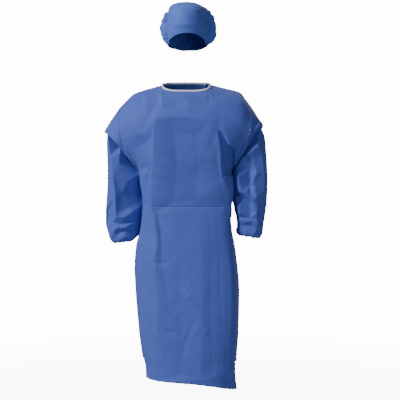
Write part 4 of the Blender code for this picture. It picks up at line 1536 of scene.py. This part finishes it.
@dataclass
class Sleeve:
    """One sleeve, from its armhole to the elastic at the wrist, and the casing inside it."""

    form: GownForm
    hand: Hand
    around: int = 160
    rings_each: int = 14
    cut: Trio = (0.44, 0.57, 0.196)
    cuff_cut: Trio = (0.19, 0.012, 0.00223)
    cuff_length: float = 0.012
    leans: float = 0.012  # how far the inner side leans on the body
    leans_to: float = 8.0  # ring where it stands clear
    tuck: float = 0.015  # how far the sleeve draws in under the shoulder's rim
    tuck_rings: tuple[float, float] = (1.9, 5.0)  # where the tuck begins and has gone
    faced_rings: tuple[float, float] = (2.2, 0.8)  # their first ring, and how far short they stop
    faced_margin: float = 0.14  # share of the width over which facets die away at an edge
    gathers: int = 11
    gather_depth: float = 0.0014
    gather_from: float = 10.2  # ring where the gathers begin
    hem_ring: int = 10  # the casing's stitches, counted in fine rings from the wrist
    seed: int = 41

    @property
    def table(self) -> Table:
        """The sizes of this sleeve's rings."""
        return SLEEVES[self.hand]

    def oval(self, ring: Array, v: Array, side: Side) -> Array:
        """Points of the sleeve's ovals, v running from the outer edge to the inner one.

        Args:
            ring: whole rows of the table.
            v: places on the oval.
            side: the front or the back half.

        Returns:
            One point for each place.
        """
        at = self.table.rows(ring)
        outer = np.stack([at["x_out"], at["y"], at["z_out"]], -1)
        inner = np.stack([at["x_in"], at["y"], at["z_in"]], -1)
        c = np.cos(math.pi * v)
        lean = v ** at["lean"] if side is Side.FRONT else v
        s = np.maximum(np.sin(math.pi * lean), 0) ** np.where(c > 0, at["pinch"], 1)
        depth = -at["front"] * s if side is Side.FRONT else at["back"] * s
        half = (outer - inner) / 2 * c[..., None]
        return (outer + inner) / 2 + half + np.stack([0 * s, depth, at["lift"] * s], -1)

    def ring_point(self, ring: Array, v: Array, side: Side) -> Array:
        """Points at whole rings, of which 0 is the armhole.

        Args:
            ring: whole rings.
            v: places on them.
            side: the front or the back half.

        Returns:
            One point for each place.
        """
        seam = self.form.armhole(self.hand, v, side)
        point = self.oval(np.maximum(ring - 1, 0), v, side)
        below = self.oval(ring * 0 + TUCK_RING - 1, v, side)
        tucked = seam + (below - seam) * (ring / TUCK_RING)[..., None]
        meets = smooth((v - RIM_MEETS[self.hand]) / RIM_FADE + 1) * (ring < TUCK_RING)
        point = point + (tucked - point) * meets[..., None]
        return np.where((ring == 0)[..., None], seam, point)

    def surface(self) -> Array:
        """The sleeve's rings of points, creases and gathers and all.

        Returns:
            One row of points for each fine ring, from the armhole to the wrist.
        """
        half = self.around // 2
        v = np.linspace(0, 1, half + 1)
        inner = np.concatenate([v, v[-2:0:-1]])
        last = len(self.table)
        rings = np.linspace(0, last, last * self.rings_each + 1)
        across, down = np.meshgrid(v, rings)
        ahead, behind = (
            between(lambda r: self.ring_point(r, across, side), last, down) for side in Side
        )
        grid = np.concatenate([ahead, behind[:, -2:0:-1]], 1)
        rings = rings[:, None]
        lean = self.leans * smooth((inner - 0.6) / 0.4) * smooth(rings / 2)
        lean = lean * smooth((self.leans_to - rings) / 3)
        grid[..., 0] -= self.hand.toward * lean
        begins, gone = self.tuck_rings
        tuck = self.tuck * (smooth((rings - begins) / 0.7) * smooth((gone - rings) / 2.4))
        tuck = tuck * (smooth((0.86 - inner) / 0.3) * smooth((inner - 0.2) / 0.2))
        grid += unit(grid.mean(1, keepdims=True) - grid) * tuck[..., None]
        begins, short = self.faced_rings
        faced = smooth(rings - begins) * smooth((last - short - rings) / 2.2)
        faced = smooth(np.minimum(v, 1 - v) / self.faced_margin) * faced
        front = grid[:, : half + 1]
        flat = SLEEVE_FACETS[self.hand].back(front[..., 0], front[..., 2])
        front[..., 1] += faced * (flat - front[..., 1])
        around = np.roll(grid, -1, 1) - np.roll(grid, 1, 1)
        out = unit(np.cross(around, np.gradient(grid, axis=0)))
        if (out * (grid - grid.mean(1, keepdims=True))).sum() < 0:
            out = -out
        number = np.arange(grid.shape[1])
        front_push, back_push = (
            pushed(SLEEVE_RELIEF[self.hand, side], grid[..., 0], grid[..., 2]) for side in Side
        )
        push = np.where(number <= half, front_push, back_push)
        from_seam = np.abs((number / half + 0.5) % 1 - 0.5)
        push = push * smooth(from_seam / 0.12) * smooth(rings / 0.6) * smooth((last - rings) / 2)
        return grid + out * (self.pleats(rings, grid.shape[1]) - push)[..., None]

    def pleats(self, rings: Array, count: int) -> Array:
        """How far the gathers at the wrist stand out.

        Args:
            rings: the fine rings, one below another.
            count: points round a ring.

        Returns:
            One height for each point.
        """
        draw = np.random.default_rng(self.seed)
        turn = full_turn(count)
        wander = 0.5 * np.sin(3 * turn + draw.uniform(0, 6))
        wander += 0.35 * np.sin(5 * turn + draw.uniform(0, 6))
        waves = np.sin(self.gathers * turn + 2 * wander)
        waves *= 0.6 + 0.5 * np.sin(2 * turn + draw.uniform(0, 6))
        small = 0.5 * np.sin((2 * self.gathers + 3) * turn + draw.uniform(0, 6))
        waves = waves + small * smooth(rings - self.gather_from - 1)
        grow = smooth((rings - self.gather_from) / (len(self.table) - self.gather_from - 1.5))
        return self.gather_depth * grow * waves

    def build(self) -> None:
        """Makes the sleeve and its casing."""
        grid = self.surface()
        name = self.hand.value
        cloth = grid_piece("sleeve_cloth_" + name, grid, True)
        finished(cloth, GOWN_CLOTH, "gown_cloth", "sleeve_" + name)
        line = np.concatenate([grid[-self.hem_ring], grid[-self.hem_ring][:1]])
        outs = unit((line - line.mean(0)) * (1, 1, 0))
        hem = stitch_piece("wrist_stitches_" + name, line + outs * CLOTH / 2, outs)
        finished(hem, BLUE_THREAD, "gown_cloth")
        rise = np.linspace(0, self.cuff_length, 6)[:, None, None] * np.array([0, 0, 1.0])
        casing = grid_piece("wrist_elastic_" + name, grid[-1][None] + rise, True)
        finished(casing, TRIM_CLOTH, "trim_cloth", "cuff_" + name)


@dataclass
class NeckTape:
    """The knitted tape folded over the neckline, open at the back."""

    form: GownForm
    inward: float = 0.0050
    upward: float = 0.0068
    thick: float = 0.0026
    points: int = 260
    cut: Trio = (0.0105, 0.72, 0.0075)
    stitch_height: float = 0.28  # share of the tape's height
    stitch_pitch: float = 0.0030

    def edge(self) -> Array:
        """The neckline from the right flap, round the front, to the left flap.

        Returns:
            Its points.
        """
        ends = (0.5 + LAP_SHARE, SHOULDER_SHARE, 1 - SHOULDER_SHARE, 0.5 - LAP_SHARE)
        count = self.points // 3
        right, front, left = (np.linspace(*pair, count) for pair in zip(ends, ends[1:]))
        top, form = 0.0, self.form
        runs = [form.cloth(right, top, Side.BACK), form.cloth(front[1:], top, Side.FRONT)]
        return np.concatenate([*runs, form.upper_flap(left[1:], top)])

    def build(self) -> None:
        """Makes the tape."""
        edge = self.edge()
        centre = np.array([self.form.neck_centre, 0, 0])
        inward = unit((centre - edge) * (1, 1, 0))
        rise = inward * self.inward + np.array([0, 0, self.upward])
        ups = unit(rise)
        reach = math.hypot(self.inward, self.upward)
        c, s = squared(full_turn(20), 4.0)
        section = np.stack([c * self.thick / 2, s * reach / 2], -1)
        tape = tube_piece("neck_tape", edge + rise / 2, section, ups)
        finished(tape, KNIT_TAPE, "binding", "neck_binding")
        outs = unit(np.cross(np.gradient(edge, axis=0), ups))
        outs = outs * np.sign((outs * -inward).sum(1))[:, None]
        line = edge + rise * self.stitch_height + outs * self.thick / 2
        stitches = stitch_piece("neck_stitches", line, outs, self.stitch_pitch)
        finished(stitches, PALE_THREAD, "binding")


@dataclass
class Belt:
    """The belt: two lengths sewn to the front, tied in a knot at the back, and its ends."""

    form: GownForm
    row: float = YOKE_ROWS + 3.55
    half_rows: float = 0.33  # rows from its middle to its edge
    width: float = 0.036
    narrow: float = 0.020  # at the knot
    narrows_over: float = 0.055
    stand: float = 0.0026
    starts: dict[Hand, float] = field(
        default_factory=lambda: {Hand.RIGHT: 0.0015, Hand.LEFT: 2 / GOWN_COLUMNS}
    )
    start_stand: float = 0.0012
    sway: float = 0.0012  # how far a length waves off the cloth
    back_width: float = 0.36  # the gown's, from seam to seam
    across: int = 16
    ruck_depth: float = 0.0016  # of the folds by the knot
    rucked_over: float = 0.07
    knot_width: float = 0.030
    knot_height: float = 0.028
    knot_depth: float = 0.016
    knot_winding: float = 0.055  # how far the folds of its winding stand out, as a share
    end_length: float = 0.150
    end_width: float = 0.032
    end_narrow: float = 0.013
    end_swing_deg: float = 14.0
    end_widens_over: float = 0.060
    end_stand: float = 0.0034
    end_sway: float = 0.0022
    end_bulge: float = 0.004
    pleat_depth: float = 0.0018  # of an end's folds below the knot
    length_cuts: dict[Hand, Trio] = field(
        default_factory=lambda: {
            Hand.RIGHT: (0.036, 0.28, 0.0100),
            Hand.LEFT: (0.036, 0.31, 0.0111),
        }
    )
    end_cut: Trio = (0.034, 0.170, 0.0056)

    def lap_rise(self, u: Array, row: Array | float) -> Array:
        """How far the overlap of the back panels lifts the belt."""
        return self.form.lap_stand(row) * smooth(2 - np.abs(u - 0.5) / LAP_SHARE)

    def length(self, hand: Hand) -> Piece:
        """One length, from the front panel round to the knot.

        Args:
            hand: the side of the wearer.

        Returns:
            The piece.
        """
        toward, seam = hand.toward, 0.5 + hand.toward / 2
        knot_u = 0.5 + toward * self.knot_width / 2 / self.back_width
        front_u = np.linspace(seam - toward * self.starts[hand], seam, 14)[:-1]
        back_u = np.linspace(seam, knot_u, 90)
        away = smooth(np.abs(back_u - seam) / 0.12)
        stand = self.start_stand + (self.stand - self.start_stand) * away
        stand = stand + self.lap_rise(back_u, self.row)
        edges = []
        for row in (self.row - self.half_rows, self.row + self.half_rows):
            front = self.form.cloth(front_u, row, Side.FRONT, self.start_stand)
            edges.append(np.concatenate([front, self.form.cloth(back_u, row, Side.BACK, stand)]))
        middles = (edges[0] + edges[1]) / 2
        across = unit(edges[0] - edges[1])
        run = travelled(middles)
        left = run[-1] - run
        widths = self.narrow + (self.width - self.narrow) * smooth(left / self.narrows_over)
        outs = unit(np.cross(np.gradient(middles, axis=0), across))
        outs = outs * np.sign((outs * (middles - middles.mean(0) * (1, 0, 1))).sum(1))[:, None]
        wave = (self.sway * np.sin(run * 52) + 0.0010) * smooth(run / 0.08)
        middles = middles + outs * wave[:, None]
        shares = np.linspace(-1, 1, self.across)
        ruck = self.ruck_depth * smooth(1 - left / self.rucked_over)[:, None]
        ruck = ruck * np.cos(shares * 3.5 * math.pi)
        grid = band_grid(middles, across, widths, self.across, outs[:, None] * ruck[..., None])
        obj = grid_piece("belt_" + hand.value + "_length", grid)
        return finished(obj, TRIM_CLOTH, "trim_cloth", "belt_" + hand.value)

    def end(self, hand: Hand) -> Piece:
        """One end that hangs from the knot.

        Args:
            hand: the side that it hangs to.

        Returns:
            The piece.
        """
        foot = self.form.cloth(np.array(0.5), np.array(self.row), Side.BACK)
        top = foot[2] - self.knot_height / 2
        swing = math.radians(self.end_swing_deg)
        share = np.linspace(0, 1, 40)
        drop = share * self.end_length * math.cos(swing)
        away = self.end_narrow * 0.55 + drop * math.tan(swing)
        rows = curve([-z for z in BODY.column("z")], range(len(BODY)), -(top - drop)) + YOKE_ROWS
        u = 0.5 + hand.toward * away / self.back_width
        phase = 0 if hand is Hand.RIGHT else 1
        lift = self.end_stand + self.end_sway * np.sin(share * 7 + phase)
        lift = lift + self.end_bulge * smooth(share * 3) * (1 - share)
        middles = self.form.cloth(u, rows, Side.BACK, self.lap_rise(u, rows) + lift)
        outs = self.form.outward(u, rows, Side.BACK)
        across = unit(np.cross(outs, np.gradient(middles, axis=0)))
        wide = smooth(drop / self.end_widens_over)
        widths = self.end_narrow + (self.end_width - self.end_narrow) * wide
        shares = np.linspace(-1, 1, self.across)
        pleat = self.pleat_depth * (1 - smooth(share / 0.8))[:, None]
        pleat = pleat * np.cos(shares * 2.5 * math.pi) + 0.0016 * share[:, None] * shares**2
        grid = band_grid(middles, across, widths, self.across, outs[:, None] * pleat[..., None])
        obj = grid_piece("belt_" + hand.value + "_end", grid)
        return finished(obj, TRIM_CLOTH, "trim_cloth", "belt_end_" + hand.value)

    def knot(self) -> Piece:
        """The knot: a pad of cloth wound round itself, with the folds of the winding.

        Returns:
            The piece.
        """
        u, row = np.array(0.5), np.array(self.row)
        rise = self.form.lap_stand(row)
        foot = self.form.cloth(u, row, Side.BACK, rise)
        out = self.form.outward(u, row, Side.BACK)
        above, below = (self.form.smooth_point(u, row + k, Side.BACK) for k in (-0.2, 0.2))
        down = unit(below - above)
        side = np.cross(down, out)
        turn, tilt = np.meshgrid(full_turn(72), np.linspace(0, math.pi, 44))
        c, s = squared(turn, 3.0)
        ring, height = np.sin(tilt) ** 0.7, np.cos(tilt)
        x, z = ring * c, height
        wind = np.sin(9 * (z * 0.85 + 0.35 * x) + 0.6 * np.sin(3 * x))
        grow = 1 + self.knot_winding * wind * np.sin(tilt)
        place = np.stack([x * self.knot_width, ring * s * self.knot_depth, z * self.knot_height], -1)
        place = place / 2 * grow[..., None]
        middle = foot + out * (self.knot_depth / 2 + 0.0016)
        grid = middle + place[..., :1] * side + place[..., 1:2] * out - place[..., 2:] * down
        knot = net_piece("belt_tied_knot", grid, True)
        return finished(knot, TRIM_CLOTH, "trim_cloth", "belt_knot")

    def build(self) -> None:
        """Makes the belt."""
        knot = self.knot()
        for hand in Hand:
            length, end = self.length(hand), self.end(hand)


@dataclass
class NeckTab:
    """The loop strip on the right back panel, under the flap that its hook strip holds."""

    form: GownForm
    height: float = 0.022
    thick: float = 0.0012
    row: float = 0.5
    low: float = 8 / GOWN_COLUMNS
    high: float = 12 / GOWN_COLUMNS
    stand: float = 0.0011
    cut: Trio = (0.022, 0.115, 0.0024)

    def build(self) -> None:
        """Makes the strip."""
        u = np.linspace(self.low, self.high, 40)
        middles = self.form.cloth(u, self.row, Side.BACK, self.stand)
        below = self.form.cloth(u, self.row + 0.3, Side.BACK, self.stand)
        across = unit(below - middles)
        grid = band_grid(middles, across, np.full(len(u), self.height), 14)
        strip = grid_piece("neck_loop_strip", grid, wall=self.thick)
        finished(strip, LOOP_PILE, "trim_cloth", "neck_tab")


@dataclass
class Stitches:
    """The rows of stitches that show on the gown's panels."""

    form: GownForm
    edge_u: float = 0.010  # share of the width from a side seam or an armhole
    flap_u: float = 0.012
    hem_rows: float = 0.46  # rows above the hem
    hem_margin: float = 0.02  # share of the width left free beside a side seam
    points: int = 400

    def row(self, name: str, u: Array, row: Array, side: Side, flap: bool = False) -> None:
        """One row of stitches at places on a face.

        Args:
            name: its name.
            u: places across.
            row: places down.
            side: the face it is on.
            flap: whether it is on the upper flap of the back.
        """
        u, row = np.broadcast_arrays(u, row)
        stand = CLOTH / 2
        path = self.form.upper_flap(u, row, stand) if flap else self.form.cloth(u, row, side, stand)
        outs = self.form.outward(u, row, side)
        finished(stitch_piece(name, path, outs), BLUE_THREAD, "gown_cloth")

    def build(self) -> None:
        """Makes the rows: armholes, side seams, hems and the flap's edge."""
        share = np.linspace(0, 1, self.points)
        arm, back_last = 0.6 + share * (YOKE_ROWS - 0.7), YOKE_ROWS + BACK_HEM_ROW
        seam = YOKE_ROWS + 0.4 + share * (LAST_ROW - YOKE_ROWS - 0.8)
        for hand in Hand:
            edge = self.edge_u if hand is Hand.RIGHT else 1 - self.edge_u
            for side in Side:
                on_flap = side is Side.BACK and hand is Hand.LEFT
                self.row(f"armhole_stitches_{hand.value}_{side.value}", edge, arm, side, on_flap)
            self.row(f"side_stitches_{hand.value}", edge, seam, Side.FRONT)
        across = self.hem_margin + (1 - 2 * self.hem_margin) * share
        self.row("hem_stitches_front", across, LAST_ROW - self.hem_rows, Side.FRONT)
        hem, flap = back_last - self.hem_rows, 0.5 - LAP_SHARE
        across = self.hem_margin + (0.46 - LAP_SHARE) * share
        self.row("hem_stitches_back_right", across, hem, Side.BACK)
        across = flap + 0.01 + (0.47 + LAP_SHARE) * share
        self.row("hem_stitches_back_left", across, hem, Side.BACK, True)
        down = 0.3 + share * (back_last - 0.5)
        self.row("flap_stitches", flap + self.flap_u, down, Side.BACK, True)


# The cap ----------


@dataclass(frozen=True)
class Pleat:
    """A fold of the gathered cloth that runs back from the cap's front seam.

    Its row is where it starts at the seam, and drift is how many rows it climbs on its way.
    """

    row: float
    drift: float
    depth: float  # in millimetres
    half: float  # half its width, in rows
    reach_deg: float

    def push(self, row: Array, past: Array) -> Array:
        """How far the pleat pushes the cloth inward, at angles past the seam.

        Args:
            row: rows of the places.
            past: how far past the seam they are, in degrees.

        Returns:
            One push for each place.
        """
        gap = np.abs(row - self.row - self.drift * past / self.reach_deg) / self.half
        fade = smooth(past / 3 + 0.3) * smooth(1.6 - 1.6 * past / self.reach_deg)
        return self.depth / 1000 * sharp(gap) * fade


CAP_PLEATS = {
    Hand.RIGHT: (
        Pleat(5.8, 0.25, 4.6, 0.34, 60),
        Pleat(5.2, 0.1, -4, 0.4, 52),
        Pleat(4.6, -0.3, 2.2, 0.24, 30),
        Pleat(3.95, -0.15, 3, 0.32, 38),
        Pleat(3.1, 0.3, -1.8, 0.4, 34),
        Pleat(2.6, 0.1, 3, 0.28, 26),
        Pleat(1.75, 0.45, 1.8, 0.34, 40),
        Pleat(0.95, 0.2, 2.6, 0.34, 24),
    ),
    Hand.LEFT: (
        Pleat(6.05, 0.3, 3, 0.26, 50),
        Pleat(5.4, -0.2, 3.4, 0.32, 36),
        Pleat(4.8, 0.25, -2, 0.3, 34),
        Pleat(4.2, -0.1, 3.6, 0.3, 44),
        Pleat(3.45, -0.45, 2.4, 0.28, 30),
        Pleat(2.75, 0.15, 3, 0.34, 38),
        Pleat(2, -0.1, -1.6, 0.34, 30),
        Pleat(1.35, 0.35, 2.6, 0.34, 34),
        Pleat(0.7, 0.15, 2, 0.3, 26),
    ),
}

CAP_RELIEF: Relief = (
    # folds of the smooth front beside its seams, and the bow of its brim
    Crease(TROUGH, 4.2, 7, 12, ((34, 272), (52, 266), (68, 250), (80, 226)), 0.7, 0.25),
    Crease(RIDGE, 4, 50, 34, ((-28, 200), (-26, 250), (-20, 290)), 1.0, 0.25),
    Crease(TROUGH, 2, 6, 6, ((28, 292), (48, 286), (60, 280)), 0.6, 0.4),
    Crease(TROUGH, 3.6, 8, 6, ((-82, 278), (-68, 288), (-48, 292)), 0.7, 0.4),
    Crease(RIDGE, 2, 5, 6, ((-74, 228), (-62, 229)), 0.6, 0.5),
    Crease(TROUGH, 8.5, 10, 8, ((58, 286), (82, 262), (94, 228), (90, 186)), 0.8, 0.2),
    Crease(TROUGH, 6, 7, 9, ((-96, 208), (-94, 236), (-82, 251), (-64, 254)), 0.8, 0.25),
    Crease(TROUGH, 1.2, 14, 8, ((-20, 199), (4, 203), (36, 200)), 0.2, 0.5),
)


@dataclass
class Cap:
    """The cap: a smooth front piece, and a piece gathered to it and into elastic."""

    apex: Trio = (0.002, 0.008, 0.327)
    head: Trio = (0.0, 0.02, 0.21)  # its middle
    seam_deg: float = 72.0  # where the front is sewn to the gathered cloth
    puff_from_deg: float = 64.0
    puff_deg: float = 20.0
    arch: float = 2.5  # how flat the brim's arch is over the face
    front_rows: int = 6
    front_columns: int = 121
    back_columns: int = 241
    hem_depth: float = 0.008
    hem_in: float = 0.985
    hem_gathers: int = 38  # round the elastic
    hem_gather: float = 0.0020
    puff: float = 0.0024
    seam_depth: float = 0.0050
    rows_each: int = 12
    brim_row: int = 14  # fine row of the brim's stitches
    seam_column: int = 3  # fine column of the seam's stitches
    front_cut: Trio = (0.26, 0.135, 0.0286)
    crown_cut: Trio = (0.46, 0.36, 0.1015)
    elastic_cut: Trio = (0.26, 0.012, 0.0030)
    seed: int = 51

    def rings(self, angle: Array, row: Array) -> Array:
        """Points at whole rings, the last one being the top of the cap.

        Args:
            angle: angles from the front, rising to the left.
            row: whole rings.

        Returns:
            One point for each place.
        """
        at = CAP.rows(np.minimum(row, len(CAP) - 1))
        across, ahead = np.sin(angle), np.cos(angle)
        past = (np.degrees(np.arccos(np.clip(ahead, -1, 1))) - self.puff_from_deg) / self.puff_deg
        left = at["left"] + at["puff_left"] * smooth(past)
        half = np.where(across > 0, left, at["puff_right"] * smooth(past) - at["right"])
        z_end = np.where(ahead > 0, at["z_front"], at["z_back"])
        z = at["z_side"] + (z_end - at["z_side"]) * (1 - np.abs(across) ** self.arch)
        y = np.where(ahead > 0, at["front"], -at["back"]) * ahead
        point = np.stack([across * half, y, z], -1)
        return np.where((row == len(CAP))[..., None], np.array(self.apex), point)

    def surface(self, angles: Array, low: float, high: float) -> tuple[Array, Array, Array]:
        """Points of the cap between two rings, with their angles and rows.

        Args:
            angles: angles from the front, rising to the left.
            low: the lowest ring.
            high: the highest ring.

        Returns:
            The points, their angles and their rows.
        """
        count = round((high - low) * self.rows_each) + 1
        angle, row = np.meshgrid(angles, np.linspace(low, high, count))
        return between(lambda r: self.rings(angle, r), len(CAP), row), angle, row

    def gathers(self, angle: Array, row: Array) -> Array:
        """How far the gathered piece stands out: its puffs and pleats, and those at the elastic.

        Args:
            angle: angles from the front.
            row: rings, which may be fractions.

        Returns:
            One height for each place.
        """
        draw = np.random.default_rng(self.seed)
        turn = np.angle(np.exp(1j * angle))
        past = np.degrees(np.abs(turn)) - self.seam_deg
        wander = 0.7 * np.sin(3 * angle + draw.uniform(0, 6))
        wander += 0.4 * np.sin(7 * angle + draw.uniform(0, 6))
        hem = np.sin(self.hem_gathers * angle + 2 * wander)
        hem = hem * (0.6 + 0.4 * np.sin(5 * angle + draw.uniform(0, 6)))
        hem = hem + 0.5 * np.sin(17 * angle + draw.uniform(0, 6))
        hem = self.hem_gather * hem * (0.4 + 0.6 * smooth(row / 0.9))
        hem = hem * smooth(1 - (row - 0.6) / 3.4)
        right, left = (
            sum((pleat.push(row, past) for pleat in CAP_PLEATS[hand]), np.zeros(np.shape(row)))
            for hand in Hand
        )
        puff = self.puff * np.sin(2.6 * row + 3 * angle) * np.sin(5 * angle + 1.3)
        puff = puff * smooth((past - 20) / 30) * smooth((8.5 - row) / 2)
        seam = -self.seam_depth * smooth(1 - np.abs(past) / 4)
        seam = seam * smooth((self.front_rows + 0.4 - row) / 2)
        return smooth(past / 2 + 0.4) * (hem + puff - np.where(turn > 0, left, right)) + seam

    def draped(self, grid: Array, angle: Array, row: Array) -> Array:
        """Points of the cap with its folds pressed in, all straight away from the head.

        Args:
            grid: the points.
            angle: their angles.
            row: their rings.

        Returns:
            The points as worn.
        """
        away = unit(grid - self.head)
        ahead = smooth(0.5 - grid[..., 1] / 0.06)
        push = pushed(CAP_RELIEF, grid[..., 0], grid[..., 2]) * ahead
        out = self.gathers(angle, row) * smooth((len(CAP) - row) / 1.5) - push
        return grid + away * out[..., None]

    def build(self) -> None:
        """Makes the cap's three pieces."""
        seam = math.radians(self.seam_deg)
        ahead = np.linspace(-seam, seam, self.front_columns)
        behind = np.linspace(seam, 2 * math.pi - seam, self.back_columns)
        grid = self.draped(*self.surface(ahead, 0, self.front_rows))
        out = unit(grid - self.head)
        rows = {
            "brim": (self.brim_row, slice(None)),
            "seam_right": (slice(None), self.seam_column),
            "seam_left": (slice(None), -1 - self.seam_column),
        }
        for place, at in rows.items():
            line = grid[at] + out[at] * CLOTH / 2
            finished(stitch_piece("cap_stitches_" + place, line, out[at]), BLUE_THREAD, "cap_cloth")
        front = finished(grid_piece("cap_front_cloth", grid), CAP_CLOTH, "cap_cloth", "cap_front")

        back = self.draped(*self.surface(behind, 0, self.front_rows))
        all_round = np.concatenate([ahead, behind[1:-1]])
        top = self.draped(*self.surface(all_round, self.front_rows, len(CAP)))
        crown = self.crown_piece(back, top)
        finished(crown, CAP_CLOTH, "cap_cloth", "cap_crown")

        hem = back[0]
        foot = hem * (self.hem_in, self.hem_in, 1) - (0, 0, self.hem_depth)
        casing = np.stack([foot + (hem - foot) * t for t in np.linspace(0, 1, 8)])
        band = grid_piece("cap_elastic_band", casing)
        finished(band, TRIM_CLOTH, "trim_cloth", "cap_elastic")

    def crown_piece(self, back: Array, top: Array) -> Piece:
        """Joins the gathered part below and the top above into one cloth.

        Args:
            back: the points of the part below.
            top: the points of the part above.

        Returns:
            The joined piece.
        """
        lower = grid_piece("cap_gathered_cloth", back)
        upper = net_piece("cap_top_part", top, True)
        shape = bmesh.new()
        shape.from_mesh(lower.data)
        shape.from_mesh(upper.data)
        bmesh.ops.remove_doubles(shape, verts=shape.verts, dist=1e-5)
        bmesh.ops.recalc_face_normals(shape, faces=shape.faces)
        shape.to_mesh(lower.data)
        shape.free()
        spare = upper.data
        bpy.data.objects.remove(upper)
        bpy.data.meshes.remove(spare)
        return lower


# Studio ----------


@dataclass(frozen=True)
class Lamp:
    """A soft square light aimed at a place on the garment."""

    name: str
    at: Trio
    aim: Trio
    size: float
    power: float
    colour: Trio

    def build(self) -> None:
        """Makes the light."""
        light = bpy.data.lights.new(self.name, "AREA")
        light.size, light.energy, light.color = self.size, self.power, self.colour
        obj = bpy.data.objects.new(self.name, light)
        obj.location = self.at
        obj.rotation_euler = (Vector(self.aim) - Vector(self.at)).to_track_quat("-Z", "Y").to_euler()
        bpy.context.scene.collection.objects.link(obj)


LAMPS = (
    Lamp("key", (-4.2, -2.9, 3.1), (0, 0, -0.4), 1.15, 410.0, (1.0, 0.99, 0.97)),
    Lamp("fill", (1.9, -3.6, -0.6), (0, 0, -1.1), 2.0, 32.0, (0.95, 0.97, 1.0)),
    Lamp("back", (1.6, 3.6, 1.8), (0, 0, -0.5), 1.6, 60.0, (0.98, 0.96, 1.0)),
)


@dataclass
class Studio:
    """A pale floor, soft light from the wearer's front right and from behind, and the camera."""

    floor_z: float = -1.45
    floor_radius: float = 3.0
    floor_colour: Trio = (0.90, 0.90, 0.91)
    floor_weight: float = 0.30  # how much of the floor shows against the backdrop
    camera_at: Trio = (0.052, -3.2, -0.462)
    lens: float = 72.0
    sensor: float = 36.0
    ambient: float = 0.12
    ambient_colour: Trio = (0.98, 0.92, 1.0)
    backdrop: float = 14.0

    def floor(self) -> None:
        """A round floor that fades out at its edge."""
        mesh = bpy.data.meshes.new("studio_floor")
        shape = bmesh.new()
        bmesh.ops.create_circle(shape, cap_ends=True, segments=96, radius=self.floor_radius)
        shape.to_mesh(mesh)
        shape.free()
        obj = bpy.data.objects.new("studio_floor", mesh)
        obj.location = (0, 0, self.floor_z)
        bpy.context.scene.collection.objects.link(obj)
        material = bpy.data.materials.new("pale_floor")
        nodes = Nodes(material)
        nodes.shader.inputs["Base Color"].default_value = (*self.floor_colour, 1)
        nodes.shader.inputs["Roughness"].default_value = 0.7
        length = nodes.add("VectorMath", operation="LENGTH")
        nodes.link(nodes.add("TexCoord").outputs["Object"], length.inputs[0])
        inner, outer = self.floor_radius * 0.5, self.floor_radius * 0.95
        shown = nodes.ranged(length.outputs["Value"], inner, outer, 1, 0)
        nodes.link(nodes.maths("MULTIPLY", shown, self.floor_weight), nodes.shader.inputs["Alpha"])
        mesh.materials.append(material)

    def sky(self) -> None:
        """Pale light from all round, and a paler backdrop."""
        world = bpy.data.worlds.new("studio")
        world.use_nodes = True
        bpy.context.scene.world = world
        tree = world.node_tree
        light = tree.nodes["Background"]
        light.inputs["Color"].default_value = (*self.ambient_colour, 1)
        light.inputs["Strength"].default_value = self.ambient
        plain = tree.nodes.new("ShaderNodeBackground")
        plain.inputs["Color"].default_value = (1, 1, 1, 1)
        plain.inputs["Strength"].default_value = self.backdrop
        path, mix = tree.nodes.new("ShaderNodeLightPath"), tree.nodes.new("ShaderNodeMixShader")
        tree.links.new(path.outputs["Is Camera Ray"], mix.inputs["Fac"])
        tree.links.new(light.outputs["Background"], mix.inputs[1])
        tree.links.new(plain.outputs["Background"], mix.inputs[2])
        tree.links.new(mix.outputs["Shader"], tree.nodes["World Output"].inputs["Surface"])

    def build(self) -> None:
        """Makes the floor, the lights and the camera."""
        self.floor()
        self.sky()
        for lamp in LAMPS:
            lamp.build()
        camera = bpy.data.cameras.new("camera")
        camera.lens, camera.sensor_width = self.lens, self.sensor
        obj = bpy.data.objects.new("camera", camera)
        obj.location = self.camera_at
        obj.rotation_euler = (math.pi / 2, 0, 0)
        bpy.context.scene.collection.objects.link(obj)
        bpy.context.scene.camera = obj


def main() -> None:
    """Builds the studio and every piece of the suit, in order."""
    logging.basicConfig(level=logging.INFO, format="%(name)s: %(message)s")
    Studio().build()
    relief = {Side.FRONT: FRONT_RELIEF, Side.BACK: BACK_RELIEF}
    form = GownForm(relief=relief, facets={Side.FRONT: FRONT_FACETS})
    Panels(form).build()
    Sleeve(form, Hand.RIGHT, leans_to=13.0, seed=41).build()
    Sleeve(form, Hand.LEFT, seed=42).build()
    NeckTape(form).build()
    Belt(form).build()
    NeckTab(form).build()
    Stitches(form).build()
    Cap().build()


if __name__ == "__main__":
    main()
